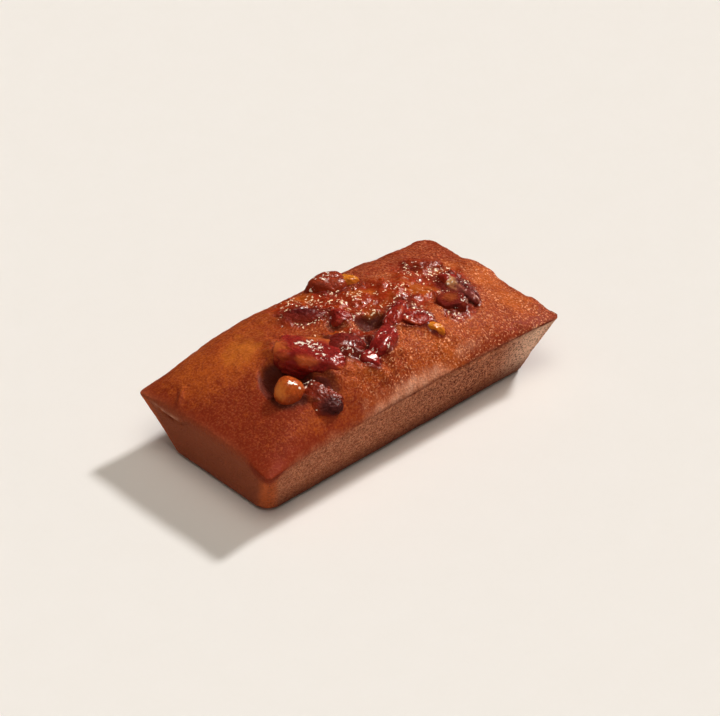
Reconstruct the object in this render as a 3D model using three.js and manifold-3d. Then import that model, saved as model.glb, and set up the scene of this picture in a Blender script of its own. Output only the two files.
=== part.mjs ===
// A baked nut financier: a small almond cake from a tapered ingot mould, with a domed crust
// that holds chopped nuts. Millimetres, +Z up, origin at the centre of the flat base, +X along the cake.
import * as THREE from "three";
import { mergeVertices } from "three/addons/utils/BufferGeometryUtils.js";
import Module from "manifold-3d";

// Mould: the rim, the base that the draft leaves, and the depth up to the rim
const RIM_LENGTH = 90;
const RIM_WIDTH = 43.8;
const RIM_HEIGHT = 15.6;
const BASE_LENGTH = 83;
const BASE_WIDTH = 32.6;
const RIM_CORNER_RADIUS = 2.4;
const BASE_CORNER_RADIUS = 4;
const BASE_EDGE_RADIUS = 1.2;

// Dome: how far the crust rises over the rim, where it is highest and how square its shoulders are
const DOME_RISE = 9.5;
const DOME_CROWN = 1.4;
const DOME_PEAK_X = -12;
const DOME_POWER_ALONG = 2.3;
const DOME_POWER_ACROSS = 6;
const RIM_LIFT_FRONT = 1.2;
const RIM_LIFT_BACK = 3.2;
const RIM_LIFT_END = 1.2;
const RIM_LIFT_POWER = 8;

// Hollow in the crust that the front nuts sit in
const HOLLOW_X = -25;
const HOLLOW_Y = -6;
const HOLLOW_RADIUS = 5;
const HOLLOW_DEPTH = 2.2;

// Facets, and the gap between pieces that touch
const CAKE_CELLS_ALONG = 26;
const CAKE_CELLS_ACROSS = 16;
const CAKE_CELLS_UP = 5;
const EDGE_CROWDING = 1.5;
const NUT_CELLS_ROUND = 13;
const NUT_CELLS_ALONG = 9;
const NUT_GAP = 0.35;
const MERGE_DISTANCE = 1e-4;

// Colours of the crust and of the nuts under their syrup, and how matt each is
const CRUST_COLOUR = 0xa0522d;
const PECAN_COLOUR = 0x6e2414;
const DARK_PECAN_COLOUR = 0x3f1a14;
const KERNEL_COLOUR = 0xc98a3c;
const HAZELNUT_COLOUR = 0xb4621f;
const CRUST_ROUGHNESS = 0.55;
const SYRUP_ROUGHNESS = 0.2;

// What each kind of nut looks like: ridges run along it, lumps break its surface, taper thins one end
const LUMPS_ALONG = 7;
const LUMPS_ROUND = 3;
const KINDS = {
  pecan: { ridges: 5, ridgeDepth: 0.1, lump: 0.05, taper: 0.12, colour: PECAN_COLOUR },
  darkPecan: { ridges: 4, ridgeDepth: 0.08, lump: 0.1, taper: 0.05, colour: DARK_PECAN_COLOUR },
  kernel: { ridges: 2, ridgeDepth: 0.06, lump: 0.03, taper: 0.2, colour: KERNEL_COLOUR },
  hazelnut: { ridges: 0, ridgeDepth: 0, lump: 0.02, taper: 0.1, colour: HAZELNUT_COLOUR },
};

// Every nut piece: its middle in plan, how far its middle stands over the crust, its length, width and
// height, and its turn in plan in degrees
const NUTS = [
  { name: "pecan_front", kind: "pecan", x: -18.4, y: -5.6, lift: 0.9, size: [17.5, 8.6, 8], turn: -68 },
  { name: "hazelnut_front", kind: "hazelnut", x: -27.5, y: -9.6, lift: 1.2, size: [6.6, 6.4, 6.6], turn: -40 },
  { name: "walnut_front", kind: "darkPecan", x: -22.6, y: -14.8, lift: -0.2, size: [10.6, 6.8, 5], turn: 72 },
  { name: "pecan_left", kind: "darkPecan", x: -7.9, y: 6.5, lift: -0.4, size: [12.4, 5, 4], turn: -36 },
  { name: "pecan_left_tip", kind: "pecan", x: -2.9, y: 0.8, lift: 0.3, size: [5.4, 4.8, 4.6], turn: -60 },
  { name: "pecan_rear", kind: "pecan", x: 3.3, y: 14.7, lift: -0.4, size: [12, 8, 7.4], turn: -30 },
  { name: "kernel_rear", kind: "kernel", x: 10.3, y: 12, lift: 0.2, size: [4.6, 3.2, 2.6], turn: -40 },
  { name: "pecan_middle", kind: "pecan", x: -9.6, y: -8.2, lift: 0.4, size: [7.6, 6.6, 5.4], turn: -50 },
  { name: "pecan_ridge", kind: "pecan", x: -2.1, y: -12.3, lift: 0.5, size: [7.6, 5, 6], turn: 30 },
  { name: "pecan_spur", kind: "pecan", x: 8.3, y: -6.3, lift: 0.5, size: [9, 3.6, 4.2], turn: 25 },
  { name: "pecan_knob", kind: "pecan", x: -7.8, y: -14.4, lift: 0.3, size: [4.6, 4.2, 4.4], turn: 0 },
  { name: "pecan_flat", kind: "pecan", x: 10.6, y: -9.4, lift: 0, size: [8.4, 6.4, 3.8], turn: -43 },
  { name: "kernel_right", kind: "kernel", x: 12.2, y: -14.2, lift: 0.3, size: [4.4, 2.8, 2.6], turn: -60 },
  { name: "pecan_far", kind: "pecan", x: 30.7, y: 8.8, lift: 0.2, size: [8.6, 5.4, 3.6], turn: -38 },
  { name: "pecan_plug", kind: "pecan", x: 30.3, y: -0.1, lift: 0.4, size: [4.8, 4.6, 4.4], turn: -40 },
  { name: "pecan_shell", kind: "darkPecan", x: 30.4, y: -6.5, lift: 0.3, size: [14.6, 5.4, 5], turn: 70 },
  { name: "pecan_cube", kind: "pecan", x: 22.7, y: -9.9, lift: 0.5, size: [6.6, 6, 5.6], turn: -10 },
];

const wasm = await Module();
wasm.setup();

// A closed geometry as a solid that can be joined and cut
function solidFrom(geometry) {
  const bare = geometry.clone();
  bare.deleteAttribute("normal");
  bare.deleteAttribute("uv");
  const merged = mergeVertices(bare, MERGE_DISTANCE);
  return new wasm.Manifold(
    new wasm.Mesh({
      numProp: 3,
      vertProperties: merged.attributes.position.array,
      triVerts: new Uint32Array(merged.index.array),
    }),
  );
}

// A solid as a geometry
function geometryFrom(solid) {
  const mesh = solid.getMesh();
  const geometry = new THREE.BufferGeometry();
  geometry.setAttribute("position", new THREE.BufferAttribute(mesh.vertProperties, 3));
  geometry.setIndex(new THREE.BufferAttribute(mesh.triVerts, 1));
  geometry.computeVertexNormals();
  return geometry;
}

// Moves every vertex of a geometry to where the rule puts it
function reshape(geometry, rule) {
  const places = geometry.getAttribute("position");
  const point = new THREE.Vector3();
  for (let i = 0; i < places.count; i++) {
    point.fromBufferAttribute(places, i);
    rule(point);
    places.setXYZ(i, point.x, point.y, point.z);
  }
  return geometry;
}

// The crust's height over the base at a place in plan
function crustHeight(x, y) {
  const along = Math.abs((2 * x) / RIM_LENGTH);
  const across = Math.abs((2 * y) / RIM_WIDTH);
  const halfFromPeak = RIM_LENGTH / 2 - Math.sign(x - DOME_PEAK_X) * DOME_PEAK_X;
  const fromPeak = Math.abs(x - DOME_PEAK_X) / halfFromPeak;
  const sideLift = (y < 0 ? RIM_LIFT_FRONT : RIM_LIFT_BACK) * (1 - along ** 2) * across ** RIM_LIFT_POWER;
  const endLift = RIM_LIFT_END * (1 - across ** 2) * along ** RIM_LIFT_POWER;
  const shoulder = (1 - fromPeak ** DOME_POWER_ALONG) * (1 - across ** DOME_POWER_ACROSS);
  const crown = (1 - along ** 2) * (1 - across ** 2);
  const fromHollow = Math.hypot(x - HOLLOW_X, y - HOLLOW_Y) / HOLLOW_RADIUS;
  const hollow = HOLLOW_DEPTH * Math.exp(-(fromHollow ** 2));
  return RIM_HEIGHT + sideLift + endLift + DOME_RISE * shoulder + DOME_CROWN * crown - hollow;
}

// Pulls a point near the corner of a rectangle onto the corner's arc
function roundCorner(point, halfLength, halfWidth, radius) {
  const pastX = Math.abs(point.x) - (halfLength - radius);
  const pastY = Math.abs(point.y) - (halfWidth - radius);
  if (pastX <= 0 || pastY <= 0) return;
  const ring = Math.max(pastX, pastY) / radius;
  const far = Math.hypot(pastX, pastY);
  const kept = (ring * radius) / far;
  point.x = Math.sign(point.x) * (halfLength - radius + pastX * kept);
  point.y = Math.sign(point.y) * (halfWidth - radius + pastY * kept);
}

// Crowds grid lines towards the edges, where the shoulders turn
function crowd(share) {
  return Math.sign(share) * (1 - (1 - Math.abs(share)) ** EDGE_CROWDING);
}

// The cake as a box whose faces become the base, the drafted walls and the domed crust
function cakeGeometry() {
  const box = new THREE.BoxGeometry(2, 2, 2, CAKE_CELLS_ALONG, CAKE_CELLS_ACROSS, CAKE_CELLS_UP);
  return reshape(box, (point) => {
    const up = (point.z + 1) / 2;
    const height = RIM_HEIGHT * up ** EDGE_CROWDING;
    const share = height / RIM_HEIGHT;
    const undercut = Math.max(0, 1 - height / BASE_EDGE_RADIUS);
    const inset = BASE_EDGE_RADIUS * (1 - Math.sqrt(1 - undercut ** 2));
    const halfLength = THREE.MathUtils.lerp(BASE_LENGTH, RIM_LENGTH, share) / 2 - inset;
    const halfWidth = THREE.MathUtils.lerp(BASE_WIDTH, RIM_WIDTH, share) / 2 - inset;
    const radius = THREE.MathUtils.lerp(BASE_CORNER_RADIUS, RIM_CORNER_RADIUS, share);
    point.x = halfLength * crowd(point.x);
    point.y = halfWidth * crowd(point.y);
    const rise = (crustHeight(point.x, point.y) - RIM_HEIGHT) * share ** RIM_LIFT_POWER;
    point.z = height + rise;
    roundCorner(point, halfLength, halfWidth, radius);
  });
}

// One nut piece, larger by the margin all round: a ball drawn out along X, ridged, lumpy and tapered
function nutGeometry(nut, margin) {
  const kind = KINDS[nut.kind];
  const ball = new THREE.SphereGeometry(1, NUT_CELLS_ROUND, NUT_CELLS_ALONG).rotateZ(Math.PI / 2);
  const [length, width, height] = nut.size;
  reshape(ball, (point) => {
    const round = Math.atan2(point.z, point.y);
    const waist = 1 - point.x ** 2;
    const ridge = kind.ridgeDepth * Math.cos(kind.ridges * round) * waist;
    const lump = kind.lump * Math.sin(LUMPS_ALONG * point.x + LUMPS_ROUND * round) * waist;
    const girth = 1 + ridge + lump - kind.taper * point.x;
    point.set(
      point.x * (length / 2 + margin),
      point.y * ((width / 2) * girth + margin),
      point.z * ((height / 2) * girth + margin),
    );
  });
  ball.rotateZ(THREE.MathUtils.degToRad(nut.turn));
  return ball.translate(nut.x, nut.y, crustHeight(nut.x, nut.y) + nut.lift);
}

// A named piece in its own colour
function piece(name, solid, colour, roughness) {
  const material = new THREE.MeshStandardMaterial({ color: colour, roughness, metalness: 0 });
  const mesh = new THREE.Mesh(geometryFrom(solid), material);
  mesh.name = name;
  return mesh;
}

const financier = new THREE.Group();
let cake = solidFrom(cakeGeometry());
const sockets = [];
for (const nut of NUTS) {
  let solid = solidFrom(nutGeometry(nut, 0));
  for (const socket of sockets) solid = solid.subtract(socket);
  const socket = solidFrom(nutGeometry(nut, NUT_GAP));
  sockets.push(socket);
  cake = cake.subtract(socket);
  financier.add(piece(nut.name, solid, KINDS[nut.kind].colour, SYRUP_ROUGHNESS));
}
financier.add(piece("cake", cake, CRUST_COLOUR, CRUST_ROUGHNESS));

export default financier;
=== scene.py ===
"""Looks of a nut financier: a baked ingot cake with a domed crust and glazed nuts, on a pale studio floor.

Sizes are in millimetres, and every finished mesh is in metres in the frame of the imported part.
"""

from __future__ import annotations

import logging
import math
from dataclasses import dataclass, field
from enum import Enum
from functools import partial, reduce
from typing import Callable

import bmesh
import bpy
import numpy as np
from mathutils import Matrix, Vector, noise

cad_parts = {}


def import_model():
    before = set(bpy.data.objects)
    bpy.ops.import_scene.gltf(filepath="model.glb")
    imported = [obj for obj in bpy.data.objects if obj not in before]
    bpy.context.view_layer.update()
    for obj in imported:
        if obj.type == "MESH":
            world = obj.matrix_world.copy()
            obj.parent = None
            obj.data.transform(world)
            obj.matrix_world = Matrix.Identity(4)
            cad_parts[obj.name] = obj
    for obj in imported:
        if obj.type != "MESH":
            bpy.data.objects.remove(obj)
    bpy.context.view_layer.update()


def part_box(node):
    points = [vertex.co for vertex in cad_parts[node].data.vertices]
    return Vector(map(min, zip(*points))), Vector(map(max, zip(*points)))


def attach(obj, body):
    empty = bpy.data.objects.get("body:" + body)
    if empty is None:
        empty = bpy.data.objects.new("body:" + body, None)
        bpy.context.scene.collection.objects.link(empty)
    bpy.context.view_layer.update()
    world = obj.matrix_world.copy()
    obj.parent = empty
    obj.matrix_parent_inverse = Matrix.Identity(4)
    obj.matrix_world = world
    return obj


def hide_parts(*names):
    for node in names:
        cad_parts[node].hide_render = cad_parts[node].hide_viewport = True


LOG = logging.getLogger("financier")
MM = 0.001
BODY = "root"
NOISE_MEAN = 0.5
SPECK_EDGE = (0.78, 0.85)
SPECK_START = (0.0, 0.25)

Colour = tuple[float, float, float, float]
Triple = tuple[float, float, float]
Pair = tuple[float, float]
Run = tuple[Pair, Pair]
Span = tuple[float, float, float, float]
Array = np.ndarray
Heights = Callable[[Array, Array], Array]
Mesh = bpy.types.Mesh
Piece = bpy.types.Object
Material = bpy.types.Material
Node = bpy.types.Node
Socket = bpy.types.NodeSocket


def linear(red: int, green: int, blue: int) -> Colour:
    """The scene-linear colour of an 8-bit screen colour.

    Args:
        red: Red from 0 to 255.
        green: Green from 0 to 255.
        blue: Blue from 0 to 255.

    Returns:
        The colour, opaque.
    """
    shares = [value / 255 for value in (red, green, blue)]
    curve = [s / 12.92 if s <= 0.04045 else ((s + 0.055) / 1.055) ** 2.4 for s in shares]
    return (curve[0], curve[1], curve[2], 1.0)


def smooth_step(low: float, high: float, value: Array) -> Array:
    """A smooth rise from 0 at low to 1 at high, or a fall where low is the larger."""
    share = np.clip((value - low) / (high - low), 0.0, 1.0)
    return share * share * (3.0 - 2.0 * share)


def window(value: Array, run: Run) -> Array:
    """1 between two smooth edges, 0 outside them."""
    rise, fall = run
    return smooth_step(*rise, value) * smooth_step(fall[1], fall[0], value)


def peak(value: Array, width: float) -> Array:
    """1 where a value is 0, fading over a width."""
    return np.exp(-((value / width) ** 2))


def noise_field(points: Array, size: float, shift: float = 0.0) -> Array:
    """Smooth noise from about -1 to 1 at each place, with swells of a size in millimetres."""
    return np.array([noise.noise(Vector(p)) for p in points / size + shift])


def cell_field(points: Array, size: float, shift: float = 0.0) -> Array:
    """Distance from each place to the nearest of scattered cell centres, in cell sizes."""
    return np.array([noise.voronoi(Vector(p))[0][0] for p in points / size + shift])


@dataclass(frozen=True)
class Layer:
    """One layer of relief: its height, the size of its swells and the shift that picks its pattern."""

    height: float
    size: float
    shift: float = 0.0
    dome_reach: float = 0.6
    dome_floor: float = -0.3

    def swells(self, points: Array) -> Array:
        """Smooth swells at each point."""
        return self.height * noise_field(points, self.size, self.shift)

    def domes(self, points: Array) -> Array:
        """Rounded lumps with creases between them at each point."""
        away = cell_field(points, self.size, self.shift) / self.dome_reach
        return self.height * np.clip(1.0 - away**2, self.dome_floor, 1.0)


def layered(layers: tuple[Layer, ...], points: Array) -> Array:
    """Several layers of swells added up at each point."""
    return np.sum([layer.swells(points) for layer in layers], axis=0)


class NodeSheet:
    """A node tree with short calls that add, set and link its nodes."""

    def __init__(self, tree: bpy.types.NodeTree) -> None:
        """Keeps the tree."""
        self.tree = tree

    def add(self, kind: str, **settings: object) -> Node:
        """Adds a node and sets its own options.

        Args:
            kind: Type of the node.
            settings: Options by name.

        Returns:
            The node.
        """
        node = self.tree.nodes.new(kind)
        for name, value in settings.items():
            setattr(node, name, value)
        return node

    def feed(self, socket: Socket, value: object) -> None:
        """Links an output to a socket, or sets the socket to a plain value.

        Args:
            socket: The input to set.
            value: An output or a plain value.
        """
        if isinstance(value, Socket):
            self.tree.links.new(value, socket)
        else:
            socket.default_value = value

    def fill(self, node: Node, values: dict[str | int, object]) -> Node:
        """Feeds the inputs of a node by name or number.

        Args:
            node: The node.
            values: Outputs or plain values by input.

        Returns:
            The node.
        """
        for name, value in values.items():
            self.feed(node.inputs[name], value)
        return node

    def place(self) -> Socket:
        """The piece's own object coordinates, in metres."""
        return self.add("ShaderNodeTexCoord").outputs["Object"]

    def painted(self, name: str) -> Socket:
        """The value that the mesh carries under a name."""
        return self.add("ShaderNodeAttribute", attribute_name=name).outputs["Fac"]

    def math(self, operation: str, first: object, second: object) -> Socket:
        """One sum of two values."""
        node = self.add("ShaderNodeMath", operation=operation)
        return self.fill(node, {0: first, 1: second}).outputs[0]

    def total(self, *values: object) -> Socket:
        """Several values added up."""
        return reduce(partial(self.math, "ADD"), values)

    def times(self, *values: object) -> Socket:
        """Several values multiplied."""
        return reduce(partial(self.math, "MULTIPLY"), values)

    def less(self, first: object, second: object) -> Socket:
        """The first value less the second."""
        return self.math("SUBTRACT", first, second)

    def span(self, value: object, low: object, high: float, start: float = 0.0, end: float = 1.0) -> Socket:
        """A value from low to high spread smoothly from start to end.

        Args:
            value: The value.
            low: Where the spread begins.
            high: Where the spread ends.
            start: What low becomes.
            end: What high becomes.

        Returns:
            The spread value.
        """
        node = self.add("ShaderNodeMapRange", interpolation_type="SMOOTHSTEP")
        self.fill(node, {"Value": value, "From Min": low, "From Max": high, "To Min": start, "To Max": end})
        return node.outputs["Result"]

    def blend(self, share: object, first: object, second: object) -> Socket:
        """Two colours blended by a share.

        Args:
            share: 0 for the first colour, 1 for the second.
            first: A colour.
            second: A colour.

        Returns:
            The blended colour.
        """
        node = self.add("ShaderNodeMix", data_type="RGBA")
        self.feed(node.inputs["Factor"], share)
        colours = [s for s in node.inputs if s.type == "RGBA"]
        self.feed(colours[0], first)
        self.feed(colours[1], second)
        return next(s for s in node.outputs if s.type == "RGBA")

    def coats(self, colour: object, *layers: tuple[object, object]) -> Socket:
        """A colour under further coats, each a share and a colour, laid on in turn.

        Args:
            colour: The lowest colour.
            layers: The coats.

        Returns:
            The colour on top.
        """
        for share, tone in layers:
            colour = self.blend(share, colour, tone)
        return colour

    def swirl(self, place: object, size: float, detail: float = 1.0) -> Socket:
        """Soft noise with swells of a size in millimetres.

        Args:
            place: Coordinates in metres.
            size: Size of a swell.
            detail: Layers of finer noise.

        Returns:
            Values from about 0 to 1.
        """
        node = self.add("ShaderNodeTexNoise")
        self.fill(node, {"Vector": place, "Scale": 1.0 / (size * MM), "Detail": detail})
        return node.outputs["Fac"]

    def cells(self, place: object, size: float) -> Socket:
        """Distance to the nearest of scattered points a size in millimetres apart."""
        node = self.add("ShaderNodeTexVoronoi", feature="F1")
        return self.fill(node, {"Vector": place, "Scale": 1.0 / (size * MM)}).outputs["Distance"]

    def painted_glint_specks(self, noise_value: object, share: object, spread: float) -> Socket:
        """Crisp specks of painted highlight from fine noise, closer together where a share is larger, none
        where it is 0.
        """
        raised = self.total(noise_value, self.times(share, spread))
        return self.times(self.span(raised, *SPECK_EDGE), self.span(share, *SPECK_START))

    def group(self, tree: bpy.types.NodeTree, **inputs: object) -> dict[str, Socket]:
        """Places a node group, feeds its named inputs and gives its outputs by name.

        Args:
            tree: The group.
            inputs: Values by name, with underscores for spaces.

        Returns:
            The outputs by name.
        """
        named = {name.replace("_", " "): value for name, value in inputs.items()}
        node = self.fill(self.add("ShaderNodeGroup", node_tree=tree), named)
        return {socket.name: socket for socket in node.outputs}

    def emboss(self, shader: Node, height: Socket, strength: float, depth: float) -> None:
        """Gives a shader relief of a depth in millimetres.

        Args:
            shader: The shader.
            height: Shares of the depth.
            strength: How much of the relief shows.
            depth: Depth of the relief.
        """
        bump = self.add("ShaderNodeBump")
        self.fill(bump, {"Strength": strength, "Distance": depth * MM, "Height": height})
        self.feed(shader.inputs["Normal"], bump.outputs["Normal"])


@dataclass
class Effects:
    """Node groups that several finishes share, each made once, with the sizes of their patterns."""

    patch_size: float = 9.0
    spot_size: float = 1.9
    speck_size: float = 0.45
    pebble_size: float = 0.6
    pebble_fall: float = 1.6
    grit_size: float = 0.35
    grit_share: float = 0.5
    pit_size: float = 0.52
    pit_level: float = 0.46
    pit_top: float = 0.5
    pit_depth: float = 0.3
    granule_size: float = 0.55
    granule_span: Pair = (0.42, 0.74)
    highlight_fleck_size: float = 0.5
    highlight_fleck_span: Pair = (0.56, 0.68)
    spark_size: float = 0.7
    painted_nut_glint_size: float = 0.8
    rich: float = 3.0
    mottle: bpy.types.NodeTree = field(init=False)
    pebble: bpy.types.NodeTree = field(init=False)

    def __post_init__(self) -> None:
        """Makes the groups."""
        self.mottle = self._mottle()
        self.pebble = self._pebble()

    @staticmethod
    def _start(name: str, inputs: tuple[str, ...], outputs: tuple[str, ...]) -> tuple[NodeSheet, dict, Node]:
        """An empty group.

        Args:
            name: Name of the group.
            inputs: Names of its value inputs, after the Place vector.
            outputs: Names of its value outputs.

        Returns:
            Its sheet, its inner input sockets and its output node.
        """
        tree = bpy.data.node_groups.new(name, "ShaderNodeTree")
        tree.interface.new_socket("Place", in_out="INPUT", socket_type="NodeSocketVector")
        for item in inputs:
            tree.interface.new_socket(item, in_out="INPUT", socket_type="NodeSocketFloat")
        for item in outputs:
            tree.interface.new_socket(item, in_out="OUTPUT", socket_type="NodeSocketFloat")
        sheet = NodeSheet(tree)
        entry = sheet.add("NodeGroupInput")
        return sheet, {s.name: s for s in entry.outputs}, sheet.add("NodeGroupOutput")

    def _mottle(self) -> bpy.types.NodeTree:
        """Uneven browning at three sizes: broad patches, spots and fine specks.

        Returns:
            The node group.
        """
        sheet, entry, leave = self._start("uneven_browning", (), ("Patches", "Spots", "Specks"))
        place = entry["Place"]
        values = {
            "Patches": sheet.swirl(place, self.patch_size, self.rich),
            "Spots": sheet.swirl(place, self.spot_size, self.rich),
            "Specks": sheet.swirl(place, self.speck_size),
        }
        sheet.fill(leave, values)
        return sheet.tree

    def _pebble(self) -> bpy.types.NodeTree:
        """Fine baked grain: rounded pebbles with pores, pale granules, and flecks and specks of painted
        highlight.

        Returns:
            The node group.
        """
        outputs = ("Height", "Pores", "Granules", "HighlightFlecks", "PaintedGlints", "PaintedNutGlints")
        sheet, entry, leave = self._start("baked_grain", ("Pore Share",), outputs)
        place = entry["Place"]
        coarse = sheet.cells(place, self.pebble_size)
        pit_start = sheet.less(self.pit_level, entry["Pore Share"])
        pores = sheet.span(sheet.swirl(place, self.pit_size), pit_start, self.pit_top, 1.0, 0.0)
        domes = sheet.less(1.0, sheet.times(coarse, coarse, self.pebble_fall))
        relief = sheet.total(domes, sheet.times(sheet.swirl(place, self.grit_size), self.grit_share))
        values = {
            "Height": sheet.less(relief, sheet.times(pores, self.pit_depth)),
            "Pores": pores,
            "Granules": sheet.span(sheet.swirl(place, self.granule_size), *self.granule_span),
            "HighlightFlecks": sheet.span(sheet.swirl(place, self.highlight_fleck_size), *self.highlight_fleck_span),
            "PaintedGlints": sheet.swirl(place, self.spark_size),
            "PaintedNutGlints": sheet.swirl(place, self.painted_nut_glint_size, 2.0),
        }
        sheet.fill(leave, values)
        return sheet.tree


def new_finish(name: str) -> tuple[Material, NodeSheet, Node]:
    """An empty node material.

    Args:
        name: Name of the material.

    Returns:
        The material, its sheet and its main shader.
    """
    material = bpy.data.materials.new(name)
    material.use_nodes = True
    sheet = NodeSheet(material.node_tree)
    return material, sheet, material.node_tree.nodes["Principled BSDF"]


@dataclass(frozen=True)
class CrustFinish:
    """Baked crust: satin orange-brown on top, matt and pale on the walls, wet and red where syrup lies."""

    deep: Colour = linear(126, 41, 19)
    golden: Colour = linear(184, 86, 30)
    syrup: Colour = linear(144, 40, 10)
    syrup_deep: Colour = linear(92, 16, 8)
    streak: Colour = linear(220, 160, 130)
    wall: Colour = linear(222, 144, 106)
    wall_dark: Colour = linear(164, 88, 58)
    wall_pale: Colour = linear(255, 204, 172)
    foot_shade: Colour = linear(112, 56, 34)
    end_wall: Colour = linear(150, 77, 50)
    corner: Colour = linear(190, 92, 48)
    pore: Colour = linear(108, 52, 36)
    grit: Colour = linear(204, 106, 58)
    seam: Colour = linear(104, 34, 14)
    stain_and_contact_shade: Colour = linear(88, 19, 11)
    shade: Colour = linear(64, 21, 14)
    amber: Colour = linear(192, 98, 26)
    honey: Colour = linear(212, 124, 40)
    highlight_fleck: Colour = linear(244, 166, 120)
    spark: Colour = linear(255, 222, 184)
    pore_share: float = 0.1
    hair_stretch: Triple = (1.0, 0.12, 0.12)
    hair_size: float = 0.46
    hair_span: Span = (0.34, 0.66, 0.4, 1.0)
    speck_span: Span = (0.1, 0.9, 0.8, 1.4)
    amber_span: Span = (0.5, 0.66, 0.0, 0.5)
    wall_span: Pair = (0.4, 0.9)
    wall_spots: float = 0.3
    spark_spread: float = 0.28
    patch_strength: float = 0.7
    spot_strength: float = 0.8
    grit_strength: float = 0.6
    roughness: float = 0.42
    speck_roughness: float = 0.16
    wall_roughness: float = 0.25
    gloss_roughness: float = 0.06
    specular: float = 0.06
    relief_depth: float = 0.4
    top_relief: float = 0.4

    def make(self, effects: Effects) -> Material:
        """Makes the material.

        Args:
            effects: The shared node groups.

        Returns:
            The finished material.
        """
        material, sheet, shader = new_finish("baked_crust")
        place = sheet.place()
        mottle = sheet.group(effects.mottle, Place=place)
        grain = sheet.group(effects.pebble, Place=place, Pore_Share=self.pore_share)
        wall = sheet.painted("wall")
        drawn = sheet.add("ShaderNodeVectorMath", operation="MULTIPLY")
        sheet.fill(drawn, {0: place, 1: self.hair_stretch})
        sheen_hairs = sheet.span(sheet.swirl(drawn.outputs[0], self.hair_size, 2.0), *self.hair_span)
        colour = sheet.coats(
            self._top(sheet, mottle, grain),
            (wall, self._side(sheet, mottle)),
            # Painted sheen: pale ribs across the front shoulder, partly paler crust.
            (sheet.times(sheen_hairs, sheet.painted("streak")), self.streak),
            # Painted shade: a dark line in the crease under the crust.
            (sheet.painted("seam"), self.seam),
            (sheet.times(grain["Pores"], sheet.painted("pitted")), self.pore),
            # Painted highlight: pale flecks on the grain.
            (sheet.times(grain["HighlightFlecks"], sheet.painted("highlight_fleck")), self.highlight_fleck),
            # Painted highlight: crisp glint specks.
            (sheet.painted_glint_specks(grain["PaintedGlints"], sheet.painted("spark"), self.spark_spread), self.spark),
        )
        specks = sheet.times(mottle["Specks"], self.speck_roughness)
        values = {
            "Base Color": colour,
            "Roughness": sheet.total(self.roughness, specks, sheet.times(wall, self.wall_roughness)),
            "Coat Weight": sheet.painted("gloss"),
            "Coat Roughness": self.gloss_roughness,
            "Specular IOR Level": self.specular,
        }
        sheet.fill(shader, values)
        relief = sheet.add("ShaderNodeMix", data_type="FLOAT")
        granules = sheet.times(grain["Granules"], self.top_relief)
        sheet.fill(relief, {0: wall, 2: granules, 3: grain["Height"]})
        height = sheet.times(relief.outputs[0], sheet.painted("rough"))
        sheet.emboss(shader, height, 1.0, self.relief_depth)
        return material

    def _top(self, sheet: NodeSheet, mottle: dict[str, Socket], grain: dict[str, Socket]) -> Socket:
        """Colour of the crust on top.

        Args:
            sheet: The material's sheet.
            mottle: The uneven browning.
            grain: The baked grain.

        Returns:
            The colour.
        """
        rough = sheet.painted("rough")
        patches = sheet.times(sheet.less(mottle["Patches"], NOISE_MEAN), self.patch_strength)
        spots = sheet.times(sheet.less(mottle["Spots"], NOISE_MEAN), self.spot_strength)
        coarse = sheet.span(rough, *self.speck_span)
        specks = sheet.times(sheet.less(mottle["Specks"], NOISE_MEAN), coarse)
        toast = sheet.total(sheet.painted("toast"), patches, spots, specks)
        dry = sheet.coats(
            self.deep,
            (sheet.span(toast, 0.0, 1.0), self.golden),
            (sheet.times(grain["Granules"], rough, self.grit_strength), self.grit),
            (sheet.times(sheet.painted("honey"), mottle["Spots"]), self.honey),
        )
        depth = sheet.total(sheet.painted("pool"), spots)
        wet = sheet.coats(
            self.syrup,
            (sheet.span(depth, 0.0, 1.0), self.syrup_deep),
            (sheet.span(mottle["Patches"], *self.amber_span), self.amber),
        )
        return sheet.coats(
            dry,
            (sheet.painted("glaze"), wet),
            # Syrup stain and painted contact shade: dark around the nuts and along the syrup strand.
            (sheet.painted("stain_and_contact_shade"), self.stain_and_contact_shade),
            # Painted shade in dips and around nested nuts.
            (sheet.painted("painted_dip_shade"), self.shade),
        )

    def _side(self, sheet: NodeSheet, mottle: dict[str, Socket]) -> Socket:
        """Colour of the walls: pale along the sides, browner on the ends and down the corners.

        Args:
            sheet: The material's sheet.
            mottle: The uneven browning.

        Returns:
            The colour.
        """
        grit = sheet.total(mottle["Specks"], sheet.times(mottle["Spots"], self.wall_spots))
        return sheet.coats(
            self.wall_dark,
            (sheet.span(grit, *self.wall_span), self.wall),
            # Paler toward the far end of the front wall.
            (sheet.painted("paler_far_front"), self.wall_pale),
            # Darker toward the floor: mostly painted shade, partly the wall's own browner foot.
            (sheet.painted("foot_shade"), self.foot_shade),
            (sheet.painted("end"), self.end_wall),
            (sheet.painted("corner"), self.corner),
        )


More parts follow.
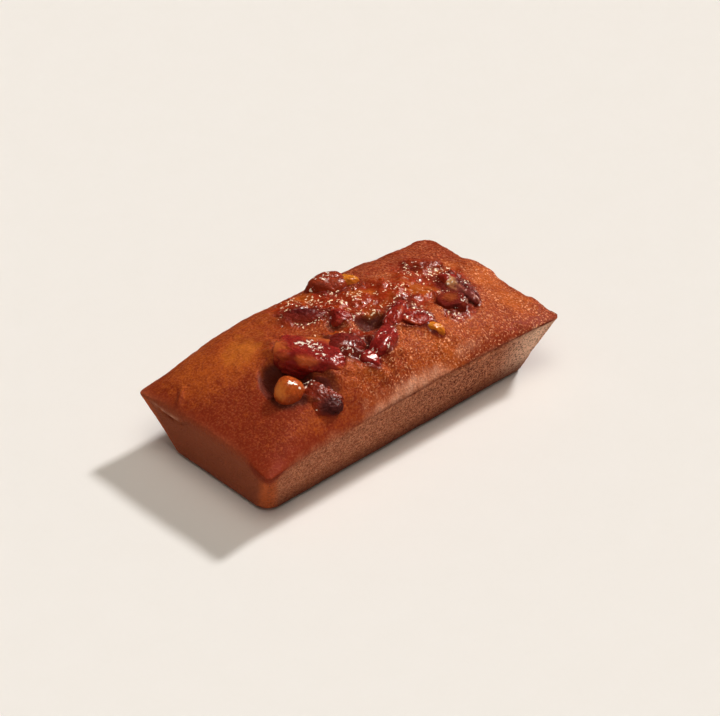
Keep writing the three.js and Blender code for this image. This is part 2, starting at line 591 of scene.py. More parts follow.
@dataclass(frozen=True)
class NutFinish:
    """A nut under wet syrup: folds painted darker and ridges lighter, partly the skin's own colour and
    partly painted shade, and pale where it is broken.
    """

    name: str
    slot: str
    fold: Colour
    skin: Colour
    ridge: Colour
    flesh: Colour = linear(186, 96, 36)
    soak: Colour = linear(140, 40, 12)
    spark: Colour = linear(255, 236, 216)
    coat: float = 0.4
    skin_level: float = 0.55
    ridge_level: float = 1.1
    spark_spread: float = 0.3
    roughness: float = 0.5
    speck_roughness: float = 0.12
    gloss_roughness: float = 0.13
    specular: float = 0.05
    relief_strength: float = 0.7
    relief_depth: float = 0.12

    def make(self, effects: Effects) -> Material:
        """Makes the material.

        Args:
            effects: The shared node groups.

        Returns:
            The finished material.
        """
        material, sheet, shader = new_finish(self.name)
        place = sheet.place()
        mottle = sheet.group(effects.mottle, Place=place)
        grain = sheet.group(effects.pebble, Place=place, Pore_Share=0.0)
        height = sheet.total(sheet.painted("ridge"), sheet.less(mottle["Spots"], NOISE_MEAN))
        colour = sheet.coats(
            self.fold,
            # Folds darker, ridges lighter: partly the skin's own colour, partly painted shade.
            (sheet.span(height, 0.0, self.skin_level), self.skin),
            (sheet.span(height, self.skin_level, self.ridge_level), self.ridge),
            (sheet.painted("flesh"), self.flesh),
            # Darker near the crust: partly syrup soaking in, partly painted shade under the nut.
            (sheet.painted("soak"), self.soak),
            # Painted highlight: crisp glint specks.
            (sheet.painted_glint_specks(grain["PaintedNutGlints"], sheet.painted("spark"), self.spark_spread), self.spark),
        )
        values = {
            "Base Color": colour,
            "Roughness": sheet.total(self.roughness, sheet.times(mottle["Specks"], self.speck_roughness)),
            "Coat Weight": sheet.times(sheet.painted("wet"), self.coat),
            "Coat Roughness": self.gloss_roughness,
            "Specular IOR Level": self.specular,
        }
        sheet.fill(shader, values)
        sheet.emboss(shader, grain["Height"], self.relief_strength, self.relief_depth)
        return material


@dataclass(frozen=True)
class FloorFinish:
    """A plain warm white table top."""

    light: Colour = linear(236, 230, 225)
    shade: Colour = linear(234, 228, 222)
    roughness: float = 0.9
    specular: float = 0.1

    def make(self, effects: Effects) -> Material:
        """Makes the material from broad, faint patches.

        Args:
            effects: The shared node groups.

        Returns:
            The finished material.
        """
        material, sheet, shader = new_finish("pale_floor")
        mottle = sheet.group(effects.mottle, Place=sheet.place())
        colour = sheet.blend(mottle["Patches"], self.shade, self.light)
        values = {"Base Color": colour, "Roughness": self.roughness, "Specular IOR Level": self.specular}
        sheet.fill(shader, values)
        return material


class Finish(Enum):
    """The finishes of the nut pieces, each with its record slot and its fold, skin and ridge colours."""

    RED = NutFinish(
        "red_pecan", "pecan", linear(72, 8, 10), linear(134, 30, 20), linear(176, 70, 36), coat=0.25
    )
    DEEP = NutFinish(
        "deep_pecan", "pecan", linear(56, 10, 10), linear(108, 26, 18), linear(156, 62, 34), coat=0.25
    )
    WET = NutFinish(
        "wet_pecan", "pecan", linear(64, 8, 16), linear(136, 28, 22), linear(176, 66, 36),
        flesh=linear(200, 100, 44), soak=linear(70, 14, 12), coat=1.0,
    )
    CINNAMON = NutFinish(
        "cinnamon_pecan", "pecan", linear(76, 20, 14), linear(132, 44, 22), linear(164, 70, 38), coat=0.28
    )
    DARK = NutFinish(
        "dark_pecan", "dark_nut", linear(46, 8, 11), linear(78, 15, 15), linear(100, 29, 22), coat=0.08
    )
    WALNUT = NutFinish(
        "dark_walnut", "dark_nut", linear(34, 11, 11), linear(66, 23, 20), linear(94, 43, 34), coat=0.2
    )
    SHELL = NutFinish(
        "dark_shell", "dark_nut", linear(44, 10, 14), linear(120, 48, 42), linear(184, 110, 86),
        flesh=linear(240, 176, 112),
    )
    KERNEL = NutFinish(
        "pale_kernel", "kernel", linear(160, 74, 14), linear(204, 112, 24), linear(222, 150, 52)
    )
    SYRUP = NutFinish("set_syrup", "crust", linear(104, 20, 6), linear(168, 56, 14), linear(196, 92, 28))
    HAZELNUT = NutFinish(
        "toasted_hazelnut", "hazelnut", linear(104, 26, 12), linear(176, 74, 24), linear(206, 106, 40),
        flesh=linear(230, 134, 56), coat=1.0,
    )


@dataclass(frozen=True)
class Hollow:
    """A round dip in the crust, or a swelling where its depth is negative."""

    x: float
    y: float
    radius: float
    depth: float
    fall: Pair = (1.2, 0.35)

    def drop(self, x: Array, y: Array) -> Array:
        """How far the crust sinks at each place."""
        away = np.hypot(x - self.x, y - self.y) / self.radius
        return self.depth * smooth_step(*self.fall, away)


@dataclass(frozen=True)
class Patch:
    """An oval area of the crust, turned in plan."""

    x: float
    y: float
    half_length: float
    half_width: float
    turn: float = 0.0

    def away(self, x: Array, y: Array) -> Array:
        """Distance from the middle of the patch, 1 at its edge.

        Args:
            x: Places along the cake.
            y: Places across the cake.

        Returns:
            One distance for each place.
        """
        turn = math.radians(self.turn)
        along = (x - self.x) * math.cos(turn) + (y - self.y) * math.sin(turn)
        across = (y - self.y) * math.cos(turn) - (x - self.x) * math.sin(turn)
        return np.hypot(along / self.half_length, across / self.half_width)


@dataclass(frozen=True)
class Crease:
    """A straight fold in the crust: a ridge, or a crack where its height is negative."""

    start: Pair
    end: Pair
    width: float
    height: float
    end_share: float = 0.4

    def rise(self, x: Array, y: Array) -> Array:
        """How far the crust rises at each place, most in the middle of the fold.

        Args:
            x: Places along the cake.
            y: Places across the cake.

        Returns:
            Heights in millimetres.
        """
        run = np.subtract(self.end, self.start)
        share = ((x - self.start[0]) * run[0] + (y - self.start[1]) * run[1]) / (run @ run)
        share = np.clip(share, 0.0, 1.0)
        away = np.hypot(x - self.start[0] - share * run[0], y - self.start[1] - share * run[1])
        arch = self.end_share + (1.0 - self.end_share) * np.sin(math.pi * share)
        return self.height * peak(away, self.width) * arch


@dataclass(frozen=True)
class Shade:
    """An amount that comes in over a range along the cake, across it and inward from the rim."""

    amount: float
    along: Pair | None = None
    across: Pair | None = None
    inward: Pair | None = None

    def at(self, x: Array, y: Array, inside: Array) -> Array:
        """The amount at each place.

        Args:
            x: Places along the cake.
            y: Places across the cake.
            inside: Distances in from the rim.

        Returns:
            One amount for each place.
        """
        value = np.full_like(x, self.amount)
        for edges, place in ((self.along, x), (self.across, y), (self.inward, inside)):
            if edges:
                value = value * smooth_step(*edges, place)
        return value


@dataclass(frozen=True)
class Bulge:
    """A lump on a nut: where it faces, its width and height, its flesh, its painted highlight specks and its
    dullness.
    """

    facing: Triple
    width: float
    height: float
    flesh: float = 0.0
    spark: float = 0.0
    dull: float = 0.0

    def share(self, ball: Array) -> Array:
        """How much of the lump lies at each point of a unit ball."""
        facing = np.array(self.facing) / np.linalg.norm(self.facing)
        return peak(np.linalg.norm(ball - facing, axis=1), self.width)


@dataclass(frozen=True)
class Cut:
    """A flat broken face on a nut: the way it faces and how far from the middle it lies."""

    facing: Triple
    distance: float
    firmness: float = 0.85

    def trim(self, points: Array) -> Array:
        """Presses what lies past the face back toward it.

        Args:
            points: Points of the nut, one row each.

        Returns:
            The moved points.
        """
        facing = np.array(self.facing) / np.linalg.norm(self.facing)
        past = np.clip(points @ facing - self.distance, 0.0, None)
        return points - facing * (self.firmness * past)[:, None]


@dataclass(frozen=True)
class NutPlan:
    """One nut piece: the node it stands for, its finish, size, turn in plan and the form of its surface."""

    node: str
    finish: Finish
    size: Triple
    turn: float
    ridge_depth: float = 0.05
    wrinkle: float = 0.06
    breaks: int = 2
    taper: float = 0.1
    fineness: int = 6
    warp: float = 0.2
    lobe: float = 0.22
    bank: float = 0.5
    bead: float = 0.12
    block: float = 2.3
    shift: Triple = (0.0, 0.0, -0.8)
    painted_glint_amount: float = 0.7
    lean: float = 0.0
    tuck: float = 0.0
    nest_shade: float = 0.0
    bulges: tuple[Bulge, ...] = ()
    cuts: tuple[Cut, ...] = ()


# The front pecan's pale upper back edge is partly pale skin and partly a painted lit rim; its lumps with
# glint specks paint highlights on top.
FRONT_BULGES = (
    Bulge((-0.8, -0.4, 0.5), 0.42, 0.12, flesh=0.85),
    Bulge((-0.5, -0.5, 0.7), 0.18, -0.14),
    Bulge((-0.42, -0.75, 0.4), 0.22, 0.1, flesh=0.2),
    Bulge((-0.2, -0.8, 0.4), 0.16, -0.1),
    Bulge((0.05, -0.75, 0.55), 0.28, 0.1, flesh=0.5),
    Bulge((0.4, -0.75, 0.4), 0.2, -0.08),
    Bulge((0.0, 0.15, 0.95), 0.55, -0.05, spark=1.0),
    Bulge((0.35, -0.35, 0.85), 0.3, 0.0, spark=0.95),
    Bulge((0.25, 0.95, 0.25), 0.55, 0.22),
    Bulge((-0.2, 0.8, 0.75), 0.3, 0.02, flesh=0.75),
    Bulge((0.2, 0.9, 0.6), 0.26, 0.02, flesh=0.7),
    Bulge((0.9, -0.4, 0.1), 0.42, 0.08, flesh=0.5),
    Bulge((0.9, 0.0, 0.4), 0.6, 0.0, dull=0.8),
)
FRONT_CUTS = (
    Cut((-1.0, -0.1, 0.0), 0.92),
    Cut((0.857, 0.515, 0.0), 0.82),
    Cut((-0.52, 0.853, 0.0), 0.84),
    Cut((0.0, 0.15, 1.0), 0.78),
)
# The hazelnut's lumps with glint specks paint its highlight across the top.
HAZELNUT_BULGES = (
    Bulge((-0.65, -0.55, 0.45), 0.6, 0.0, flesh=0.6),
    Bulge((0.1, -0.3, 0.95), 0.28, 0.0, spark=1.0),
    Bulge((0.38, -0.4, 0.8), 0.28, 0.0, spark=1.1),
    Bulge((0.62, -0.5, 0.6), 0.26, 0.0, spark=0.95),
)
# The walnut's lumps with glint specks paint highlights; the pale second lump paints a glossy rim as painted
# highlight.
WALNUT_BULGES = (
    Bulge((0.75, 0.3, 0.7), 0.55, 0.0, spark=1.0),
    Bulge((-0.5, 0.7, 0.5), 0.3, 0.04, flesh=0.3, spark=0.8),
    Bulge((-0.7, -0.4, 0.6), 0.6, 0.0, dull=0.8),
)
TIP_BULGES = (Bulge((0.0, 0.0, 1.0), 0.9, 0.0, dull=0.7),)
# The shell's first lump is partly pale skin and partly a painted cream highlight; its lumps with glint
# specks paint highlight specks.
SHELL_BULGES = (
    Bulge((0.5, 0.55, 0.7), 0.5, 0.06, flesh=0.6, spark=0.85),
    Bulge((0.2, -0.7, 0.6), 0.5, 0.0, spark=0.8),
    Bulge((-0.7, 0.5, 0.2), 0.5, 0.05, flesh=0.4),
)
# The cube's top and right edge are painted lighter and its front darker: partly its own colour, partly
# painted light and shade. Its lump with glint specks paints highlights.
CUBE_BULGES = (
    Bulge((0.85, -0.45, 0.4), 0.36, 0.06, flesh=0.6, spark=0.8),
    Bulge((0.0, 0.2, 1.0), 0.55, 0.05, flesh=0.35),
    Bulge((-0.5, -0.8, 0.1), 0.6, -0.14),
)
CUBE_CUTS = (Cut((-0.1, 0.0, 1.0), 0.74), Cut((-0.45, -0.9, 0.1), 0.72), Cut((0.9, -0.3, 0.0), 0.8))

NUTS: tuple[NutPlan, ...] = (
    NutPlan(
        "pecan_front", Finish.WET, (16.6, 8.8, 8.2), -68, ridge_depth=0.02, breaks=0, taper=0.0, warp=0.06,
        lobe=0.12, bank=0.4, block=3.0, painted_glint_amount=0.15, shift=(1.2, 0.1, -0.9),
        bulges=FRONT_BULGES, cuts=FRONT_CUTS,
    ),
    NutPlan(
        "hazelnut_front", Finish.HAZELNUT, (6.6, 6.4, 6.6), -40, ridge_depth=0.0, wrinkle=0.012, breaks=0,
        warp=0.06, lobe=0.03, bank=0.0, bead=0.03, block=2.1, painted_glint_amount=0.0, nest_shade=0.9, shift=(0.0, 0.0, -0.4),
        bulges=HAZELNUT_BULGES,
    ),
    NutPlan(
        "walnut_front", Finish.WALNUT, (10.8, 8.2, 4.4), 72, wrinkle=0.08, breaks=0, lobe=0.12, bank=0.1,
        painted_glint_amount=0.4, lean=1.0, tuck=2.0, nest_shade=0.6, shift=(0.3, 0.6, -1.0), bulges=WALNUT_BULGES,
    ),
    NutPlan(
        "pecan_left", Finish.DARK, (12.8, 5.6, 5.0), -36, breaks=1, lobe=0.14, bank=0.6, painted_glint_amount=0.05,
        shift=(0.0, 0.0, -0.9),
    ),
    NutPlan(
        "pecan_left_tip", Finish.RED, (5.8, 5.2, 5.0), -60, wrinkle=0.03, fineness=5, lobe=0.1, bead=0.08,
        painted_glint_amount=0.1, bulges=TIP_BULGES,
    ),
    NutPlan(
        "pecan_rear", Finish.CINNAMON, (10.2, 7.4, 7.4), -30, wrinkle=0.03, breaks=0, lobe=0.06, bank=0.05,
        bead=0.06, shift=(2.2, -1.3, -1.1),
    ),
    NutPlan(
        "kernel_rear", Finish.KERNEL, (5.6, 4.2, 3.8), -40, breaks=1, fineness=5, lobe=0.06, bank=0.2,
        painted_glint_amount=0.2, shift=(-0.6, -0.5, -0.4),
    ),
    NutPlan(
        "pecan_middle", Finish.DEEP, (8.6, 7.4, 6.2), -50, wrinkle=0.03, breaks=0, lobe=0.1, bead=0.08,
    ),
    NutPlan(
        "pecan_ridge", Finish.WET, (10.4, 5.4, 6.2), 26, ridge_depth=0.02, wrinkle=0.03, breaks=0, taper=0.0,
        lobe=0.09, bead=0.07, painted_glint_amount=0.9, shift=(0.8, 0.3, -0.8),
    ),
    NutPlan(
        "pecan_spur", Finish.RED, (11.6, 4.4, 5.0), 25, wrinkle=0.03, breaks=0, taper=0.0, lobe=0.1,
        shift=(-0.5, -0.2, -0.8),
    ),
    NutPlan(
        "pecan_knob", Finish.WET, (5.0, 4.8, 4.8), 0, ridge_depth=0.02, wrinkle=0.02, breaks=0, fineness=5,
        lobe=0.07, bead=0.05,
    ),
    NutPlan(
        "pecan_flat", Finish.RED, (9.0, 6.8, 4.2), -43, lobe=0.26, bead=0.14, painted_glint_amount=0.8,
        shift=(0.0, 0.0, -0.4),
    ),
    NutPlan(
        "kernel_right", Finish.KERNEL, (5.0, 3.4, 3.2), -60, breaks=1, fineness=5, lobe=0.06, bank=0.15,
        painted_glint_amount=0.2, shift=(0.2, -0.2, -0.3),
    ),
    NutPlan(
        "pecan_far", Finish.CINNAMON, (8.6, 5.6, 4.0), -38, lobe=0.1, painted_glint_amount=0.45, shift=(0.0, 0.0, -0.9),
    ),
    NutPlan("pecan_plug", Finish.RED, (5.4, 5.2, 4.8), -40, wrinkle=0.04, fineness=5, lobe=0.12),
    NutPlan(
        "pecan_shell", Finish.SHELL, (15.0, 6.0, 5.4), 70, lobe=0.26, bank=0.3, bead=0.14,
        shift=(-0.5, 1.5, -0.4), bulges=SHELL_BULGES,
    ),
    NutPlan(
        "pecan_cube", Finish.DEEP, (6.4, 6.0, 6.6), -10, ridge_depth=0.02, wrinkle=0.04, breaks=0, warp=0.1,
        lobe=0.1, bank=0.3, bead=0.05, block=3.2, shift=(0.0, 0.0, -0.7),
        bulges=CUBE_BULGES, cuts=CUBE_CUTS,
    ),
)


def read_points(mesh: Mesh) -> Array:
    """The vertices of a mesh, one row each.

    Args:
        mesh: The mesh.

    Returns:
        Places in the mesh's own units.
    """
    points = np.empty(len(mesh.vertices) * 3)
    mesh.vertices.foreach_get("co", points)
    return points.reshape(-1, 3)


def write_points(mesh: Mesh, points: Array) -> None:
    """Moves the vertices of a mesh to places in millimetres."""
    mesh.vertices.foreach_set("co", (points * MM).ravel())
    mesh.update()


def read_normals(mesh: Mesh) -> Array:
    """The outward direction at each vertex of a mesh.

    Args:
        mesh: The mesh.

    Returns:
        Unit directions, one row each.
    """
    normals = np.empty(len(mesh.vertices) * 3)
    mesh.vertices.foreach_get("normal", normals)
    return normals.reshape(-1, 3)


def paint(mesh: Mesh, **values: Array) -> None:
    """Stores named values on the vertices of a mesh, for its finish to read.

    Args:
        mesh: The mesh.
        values: One value for each vertex, by name.
    """
    for name, value in values.items():
        layer = mesh.attributes.new(name, "FLOAT", "POINT")
        layer.data.foreach_set("value", np.asarray(value, np.float32))


def new_mesh(name: str, work: bmesh.types.BMesh) -> Mesh:
    """Turns finished work into a named mesh.

    Args:
        name: Name of the mesh.
        work: The finished work, which is freed.

    Returns:
        The mesh.
    """
    mesh = bpy.data.meshes.new(name)
    work.to_mesh(mesh)
    work.free()
    return mesh


def add_object(name: str, data: bpy.types.ID) -> Piece:
    """Puts data in the scene as a named object at the origin.

    Args:
        name: Name of the object.
        data: Its mesh, lamp or camera.

    Returns:
        The object.
    """
    piece = bpy.data.objects.new(name, data)
    bpy.context.scene.collection.objects.link(piece)
    return piece


def finish_object(mesh: Mesh) -> Piece:
    """Shades a mesh smoothly and puts it in the scene under its own name."""
    mesh.polygons.foreach_set("use_smooth", [True] * len(mesh.polygons))
    return add_object(mesh.name, mesh)


@dataclass
class Nut:
    """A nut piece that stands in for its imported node."""

    plan: NutPlan
    swell: float = 1.08
    bead_size: float = 0.75
    lean_reach: float = 3.0
    bank_limit: float = 5.0
    bank_reach: float = 2.0
    ridges: int = 3
    wrinkle_size: float = 0.42
    fine_share: float = 0.45
    lobe_size: float = 0.75
    soak_share: float = 0.75
    soak_span: Pair = (1.9, 0.1)
    middle: Vector = field(init=False)

    def __post_init__(self) -> None:
        """Takes the piece's middle from its node, in millimetres."""
        low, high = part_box(self.plan.node)
        self.middle = (low + high) / (2 * MM) + Vector(self.plan.shift)

    def reach(self, x: Array, y: Array) -> Array:
        """Distance in millimetres outside the piece's outline in plan, negative inside it.

        Args:
            x: Places along the cake.
            y: Places across the cake.

        Returns:
            One distance for each place.
        """
        length, width = self.plan.size[:2]
        outline = Patch(self.middle.x, self.middle.y, length / 2, width / 2, self.plan.turn)
        return (outline.away(x, y) - 1.0) * min(length, width) / 2 + self.plan.tuck

    def rise(self, x: Array, y: Array, crust: Array) -> Array:
        """How far the crust climbs the piece.

        Args:
            x: Places along the cake.
            y: Places across the cake.
            crust: Height of the crust at each place.

        Returns:
            Heights in millimetres.
        """
        away = np.clip(self.reach(x, y), 0.0, None)
        proud = self.middle.z + self.plan.size[2] / 2 - crust
        climb = np.clip(proud, 0.0, self.bank_limit) * np.exp(-((away / self.bank_reach) ** 1.5))
        return self.plan.bank * climb

    def _shape(self, ball: Array) -> tuple[Array, dict[str, Array]]:
        """Shapes a unit ball into the nut.

        Args:
            ball: Points on a unit ball, one row each, with X along the nut.

        Returns:
            The shaped points in shares of the half sizes, and what the finish reads at each of them.
        """
        plan = self.plan
        seed = sum(ord(letter) for letter in plan.node) * 0.37
        round_angle = np.arctan2(ball[:, 2], ball[:, 1])
        waist = 1.0 - ball[:, 0] ** 2
        wobble = noise_field(ball, 0.9, seed)
        ridge = plan.ridge_depth * np.cos(self.ridges * round_angle + 1.2 * wobble + seed) * waist
        folds = noise_field(ball * [1.4, 1.0, 1.0], self.wrinkle_size, seed + 5.0)
        fine = noise_field(ball * [1.2, 1.0, 1.0], self.wrinkle_size * self.fine_share, seed + 9.0)
        lobes = np.sqrt(np.abs(noise_field(ball, self.lobe_size, seed + 7.0)))
        wrinkle = plan.wrinkle * (np.abs(folds) * 1.6 - 0.4 + 0.35 * fine) + plan.lobe * (lobes - 0.5)
        lump = 0.08 * noise_field(ball, 1.1, seed + 2.0)
        # Painted highlight: glint specks on the nut's upper side and on the lumps that ask for them.
        patchy = smooth_step(0.0, 0.35, noise_field(ball, 0.7, seed + 31.0))
        spark = plan.painted_glint_amount * smooth_step(0.0, 0.5, ball[:, 2]) * patchy
        flesh, dull = np.zeros((2, len(ball)))
        for bulge in plan.bulges:
            share = bulge.share(ball)
            lump += bulge.height * share
            shown = smooth_step(0.15, 0.95, share + 0.3 * fine)
            flesh = np.maximum(flesh, bulge.flesh * shown)
            spark = np.maximum(spark, bulge.spark * shown)
            dull = np.maximum(dull, bulge.dull * shown)
        square = np.sum(np.abs(ball) ** plan.block, axis=1) ** (-1.0 / plan.block)
        girth = square + ridge + wrinkle + lump
        twist = np.stack([noise_field(ball, 1.0, seed + shift) for shift in (21.0, 22.0, 23.0)], axis=1)
        points = ball * girth[:, None] + plan.warp * twist
        points[:, 1:] *= (1.0 - plan.taper * ball[:, 0])[:, None]
        for cut in (*plan.cuts, *self._chips(seed)):
            points = cut.trim(points)
        # The ridge value paints the folds darker and the lumps lighter, partly as painted shade.
        proud = np.clip(0.55 + 2.2 * (ridge + wrinkle + lump), 0.0, 1.2)
        return points, {"ridge": proud, "flesh": flesh, "spark": spark * (1.0 - dull), "wet": 1.0 - dull}

    def _chips(self, seed: float) -> list[Cut]:
        """Broken faces at seeded places.

        Args:
            seed: The nut's own seed.

        Returns:
            One cut for each break in the plan.
        """
        chips = []
        generator = np.random.default_rng(int(seed * 100))
        for _ in range(self.plan.breaks):
            facing = tuple(generator.normal(size=3) * [1.0, 1.0, 0.6])
            chips.append(Cut(facing, generator.uniform(0.66, 0.84)))
        return chips

    def _lean(self, crust_height: Heights) -> Array:
        """The rotation that tips the piece toward the crust's slope, by the share in its plan.

        Args:
            crust_height: Height of the crust at places in plan.

        Returns:
            A rotation matrix.
        """
        x = self.middle.x + self.lean_reach * np.array([-1.0, 1.0, 0.0, 0.0])
        y = self.middle.y + self.lean_reach * np.array([0.0, 0.0, -1.0, 1.0])
        west, east, south, north = crust_height(x, y)
        plumb = Vector((0.0, 0.0, 1.0))
        upright = Vector((west - east, south - north, 2 * self.lean_reach)).normalized()
        return np.array(plumb.rotation_difference(plumb.lerp(upright, self.plan.lean)).to_matrix())

    def build(self, crust_height: Heights) -> Piece:
        """Makes the mesh from a ball of small triangles.

        Args:
            crust_height: Height of the crust at places in plan.

        Returns:
            The finished object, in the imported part's frame.
        """
        plan = self.plan
        work = bmesh.new()
        bmesh.ops.create_icosphere(work, subdivisions=plan.fineness, radius=1.0)
        mesh = new_mesh(plan.node + "_look", work)
        points, values = self._shape(read_points(mesh))
        points = points * (np.array(plan.size) / 2 * self.swell)
        turn = self._lean(crust_height) @ np.array(Matrix.Rotation(math.radians(plan.turn), 3, "Z"))
        points = points @ turn.T + np.array(self.middle)
        write_points(mesh, points)
        beads = layered((Layer(1.0, self.bead_size, 3.0), Layer(0.4, self.bead_size / 2, 4.0)), points)
        points = points + read_normals(mesh) * (plan.bead * beads)[:, None]
        write_points(mesh, points)
        # Darker near the crust: partly syrup soaking in, partly painted shade under the nut.
        clear = points[:, 2] - crust_height(points[:, 0], points[:, 1])
        paint(mesh, soak=self.soak_share * smooth_step(*self.soak_span, clear), **values)
        return finish_object(mesh)


@dataclass
class Ground:
    """What lies where on the cake's surface, one value for each vertex, in millimetres."""

    points: Array
    below: Array
    normals: Array
    reach: Array
    corner_gap: Array
    half_length: float
    half_width: float
    pale_run: Run = ((-20.0, -6.0), (6.0, 13.0))
    rib_run: Run = ((-18.0, -8.0), (6.0, 13.0))
    faint_run: Run = ((12.0, 15.0), (21.0, 26.0))
    torn_run: Run = ((4.0, 9.0), (14.0, 18.0))
    streak_run: Run = ((8.0, 9.5), (17.5, 19.0))
    slit_run: Run = ((10.6, 12.1), (12.9, 14.4))
    near_depth: float = 6.0
    top: Array = field(init=False)
    inside: Array = field(init=False)
    rim: Array = field(init=False)
    end: Array = field(init=False)
    corner: Array = field(init=False)
    wall: Array = field(init=False)

    def __post_init__(self) -> None:
        """Works out the zones from the plain ingot."""
        x, y = self.points[:, 0], self.points[:, 1]
        self.top = self.below <= 0.0
        edge = np.minimum(self.half_length - np.abs(x), self.half_width - np.abs(y))
        self.inside = np.where(self.top, edge, 0.0)
        self.rim = self.below - self.inside
        level = np.maximum(np.hypot(self.normals[:, 0], self.normals[:, 1]), 1e-6)
        east = self.normals[:, 0] / level
        over_end = self._from_end(7.0, 3.0, np.abs(x))
        self.end = np.where(self.top, over_end, smooth_step(0.6, 0.95, np.abs(east)))
        strength = 1.0 - 0.6 * smooth_step(0.0, 30.0, x)
        self.corner = np.where(self.top, 0.0, strength * smooth_step(4.2, 1.2, self.corner_gap))
        self.wall = self._wall()

    def _from_end(self, start: float, full: float, along: Array) -> Array:
        """0 to 1 from a distance to another before an end of the rim."""
        return smooth_step(self.half_length - start, self.half_length - full, along)

    def _front(self) -> Array:
        """1 along the front, 0 elsewhere."""
        return smooth_step(self.half_width - 8.0, self.half_width - 5.0, -self.points[:, 1])

    def _from_corner(self) -> Array:
        """Rises from 0 close to the upright corners to 1 away from them.

        Returns:
            One share for each vertex.
        """
        away_x = self.half_length - np.abs(self.points[:, 0])
        away_y = self.half_width - np.abs(self.points[:, 1])
        return smooth_step(3.0, 10.0, np.hypot(away_x, away_y))

    def _near_end(self, run: Run) -> Array:
        """1 on the near end's wall between two places across it, 0 elsewhere."""
        near = self.points[:, 0] < self.near_depth - self.half_length
        return np.where(near, window(self.points[:, 1], run), 0.0)

    def _wall(self) -> Array:
        """Where the pale wall colour begins: above the rim in the middle of the front, where it paints the
        shoulder's pale band, partly paler crust and partly painted sheen, and below the rim elsewhere.

        Returns:
            0 on the crust, 1 on the wall.
        """
        x = self.points[:, 0]
        front = self._front()
        # The pale band on the front shoulder: partly paler crust, partly painted sheen.
        pale = window(x, self.pale_run) * front
        near_end = self._from_end(7.0, 3.0, -x) * (1.0 - front)
        dip = 2.2 * front * self._from_end(9.0, 0.0, -x)
        far = front * smooth_step(14.0, 24.0, x)
        start = 0.4 - 1.2 * pale - 0.6 * near_end + dip
        soft = 0.7 + 0.7 * pale + 1.6 * near_end + 0.9 * front * smooth_step(-14.0, -26.0, x)
        ragged = 0.6 * noise_field(self.points, 3.0, 41.0) + 0.5 * far * noise_field(self.points, 1.7, 42.0)
        return smooth_step(-1.0, 1.0, (self.rim - start + ragged) / soft)

    def softness(self) -> Array:
        """How rounded the rim is, from 0 to 1.

        Returns:
            One share for each vertex.
        """
        x = self.points[:, 0]
        front = self._front() * (1.0 - 0.65 * smooth_step(4.0, 14.0, x))
        base = np.maximum(np.maximum(0.45, front), self._from_end(6.0, 3.0, -x))
        return base * (0.25 + 0.75 * self._from_corner())

    def streak(self) -> Array:
        """Pale ribs across the front shoulder, partly paler crust and partly painted sheen, and a pale torn
        line at the near end, from 0 to 1.

        Returns:
            One share for each vertex.
        """
        x = self.points[:, 0]
        rib = noise_field(self.points * [1.0, 0.15, 0.15], 0.8, 21.0)
        patchy = smooth_step(-0.5, 0.5, noise_field(self.points, 3.4, 22.0)) * self._front()
        strong = window(x, self.rib_run) * smooth_step(1.8, 0.2, np.abs(self.rim + 0.7) + 0.8 * rib)
        faint = window(x, self.faint_run) * smooth_step(1.6, 0.2, np.abs(self.rim + 2.0) + 0.8 * rib)
        torn = peak(self.rim - 1.2 - 0.4 * rib, 0.4) * (0.6 + 0.5 * rib)
        ribs = patchy * (strong + faint * (0.4 + 0.4 * rib))
        return np.maximum(ribs, torn * self._near_end(self.streak_run))

    def seam(self) -> Array:
        """Painted shade: the dark line in the crease under the crust along the far half of the front, and in
        a slit at the near end.

        Returns:
            One share for each vertex.
        """
        ragged = noise_field(self.points * [1.0, 1.0, 0.0], 5.0, 33.0)
        run = smooth_step(-22.0, -6.0, self.points[:, 0]) * self._front()
        crack = run * peak(self.rim - 0.2 - 0.25 * ragged, 0.32) * (0.8 + 0.4 * ragged)
        slit = peak(self.rim - 2.5 - 0.4 * ragged, 0.4)
        return np.maximum(crack, slit * self._near_end(self.slit_run))

    def lip(self) -> Array:
        """How far the rim stands out: a slight overhang with a crease under it, torn at the near end.

        Returns:
            Heights in millimetres, 0 on top.
        """
        x, y = self.points[:, 0], self.points[:, 1]
        ragged = noise_field(self.points * [1.0, 1.0, 0.0], 7.0, 31.0)
        torn = smooth_step(-40.0, -44.0, x) * window(y, self.torn_run)
        depth = (0.15 + 0.75 * smooth_step(2.0, 12.0, x)) * self._from_corner()
        under = self.below - (0.5 + 0.3 * ragged + 1.8 * torn)
        stand = 0.3 * peak(under - 0.8, 0.6) * (1.0 - torn) + 0.2 * torn * peak(under + 0.7, 0.6)
        crease = (0.36 + 0.2 * torn) * peak(under, 0.42)
        return np.where(self.top, 0.0, (stand - crease) * np.maximum(depth, 1.3 * torn))


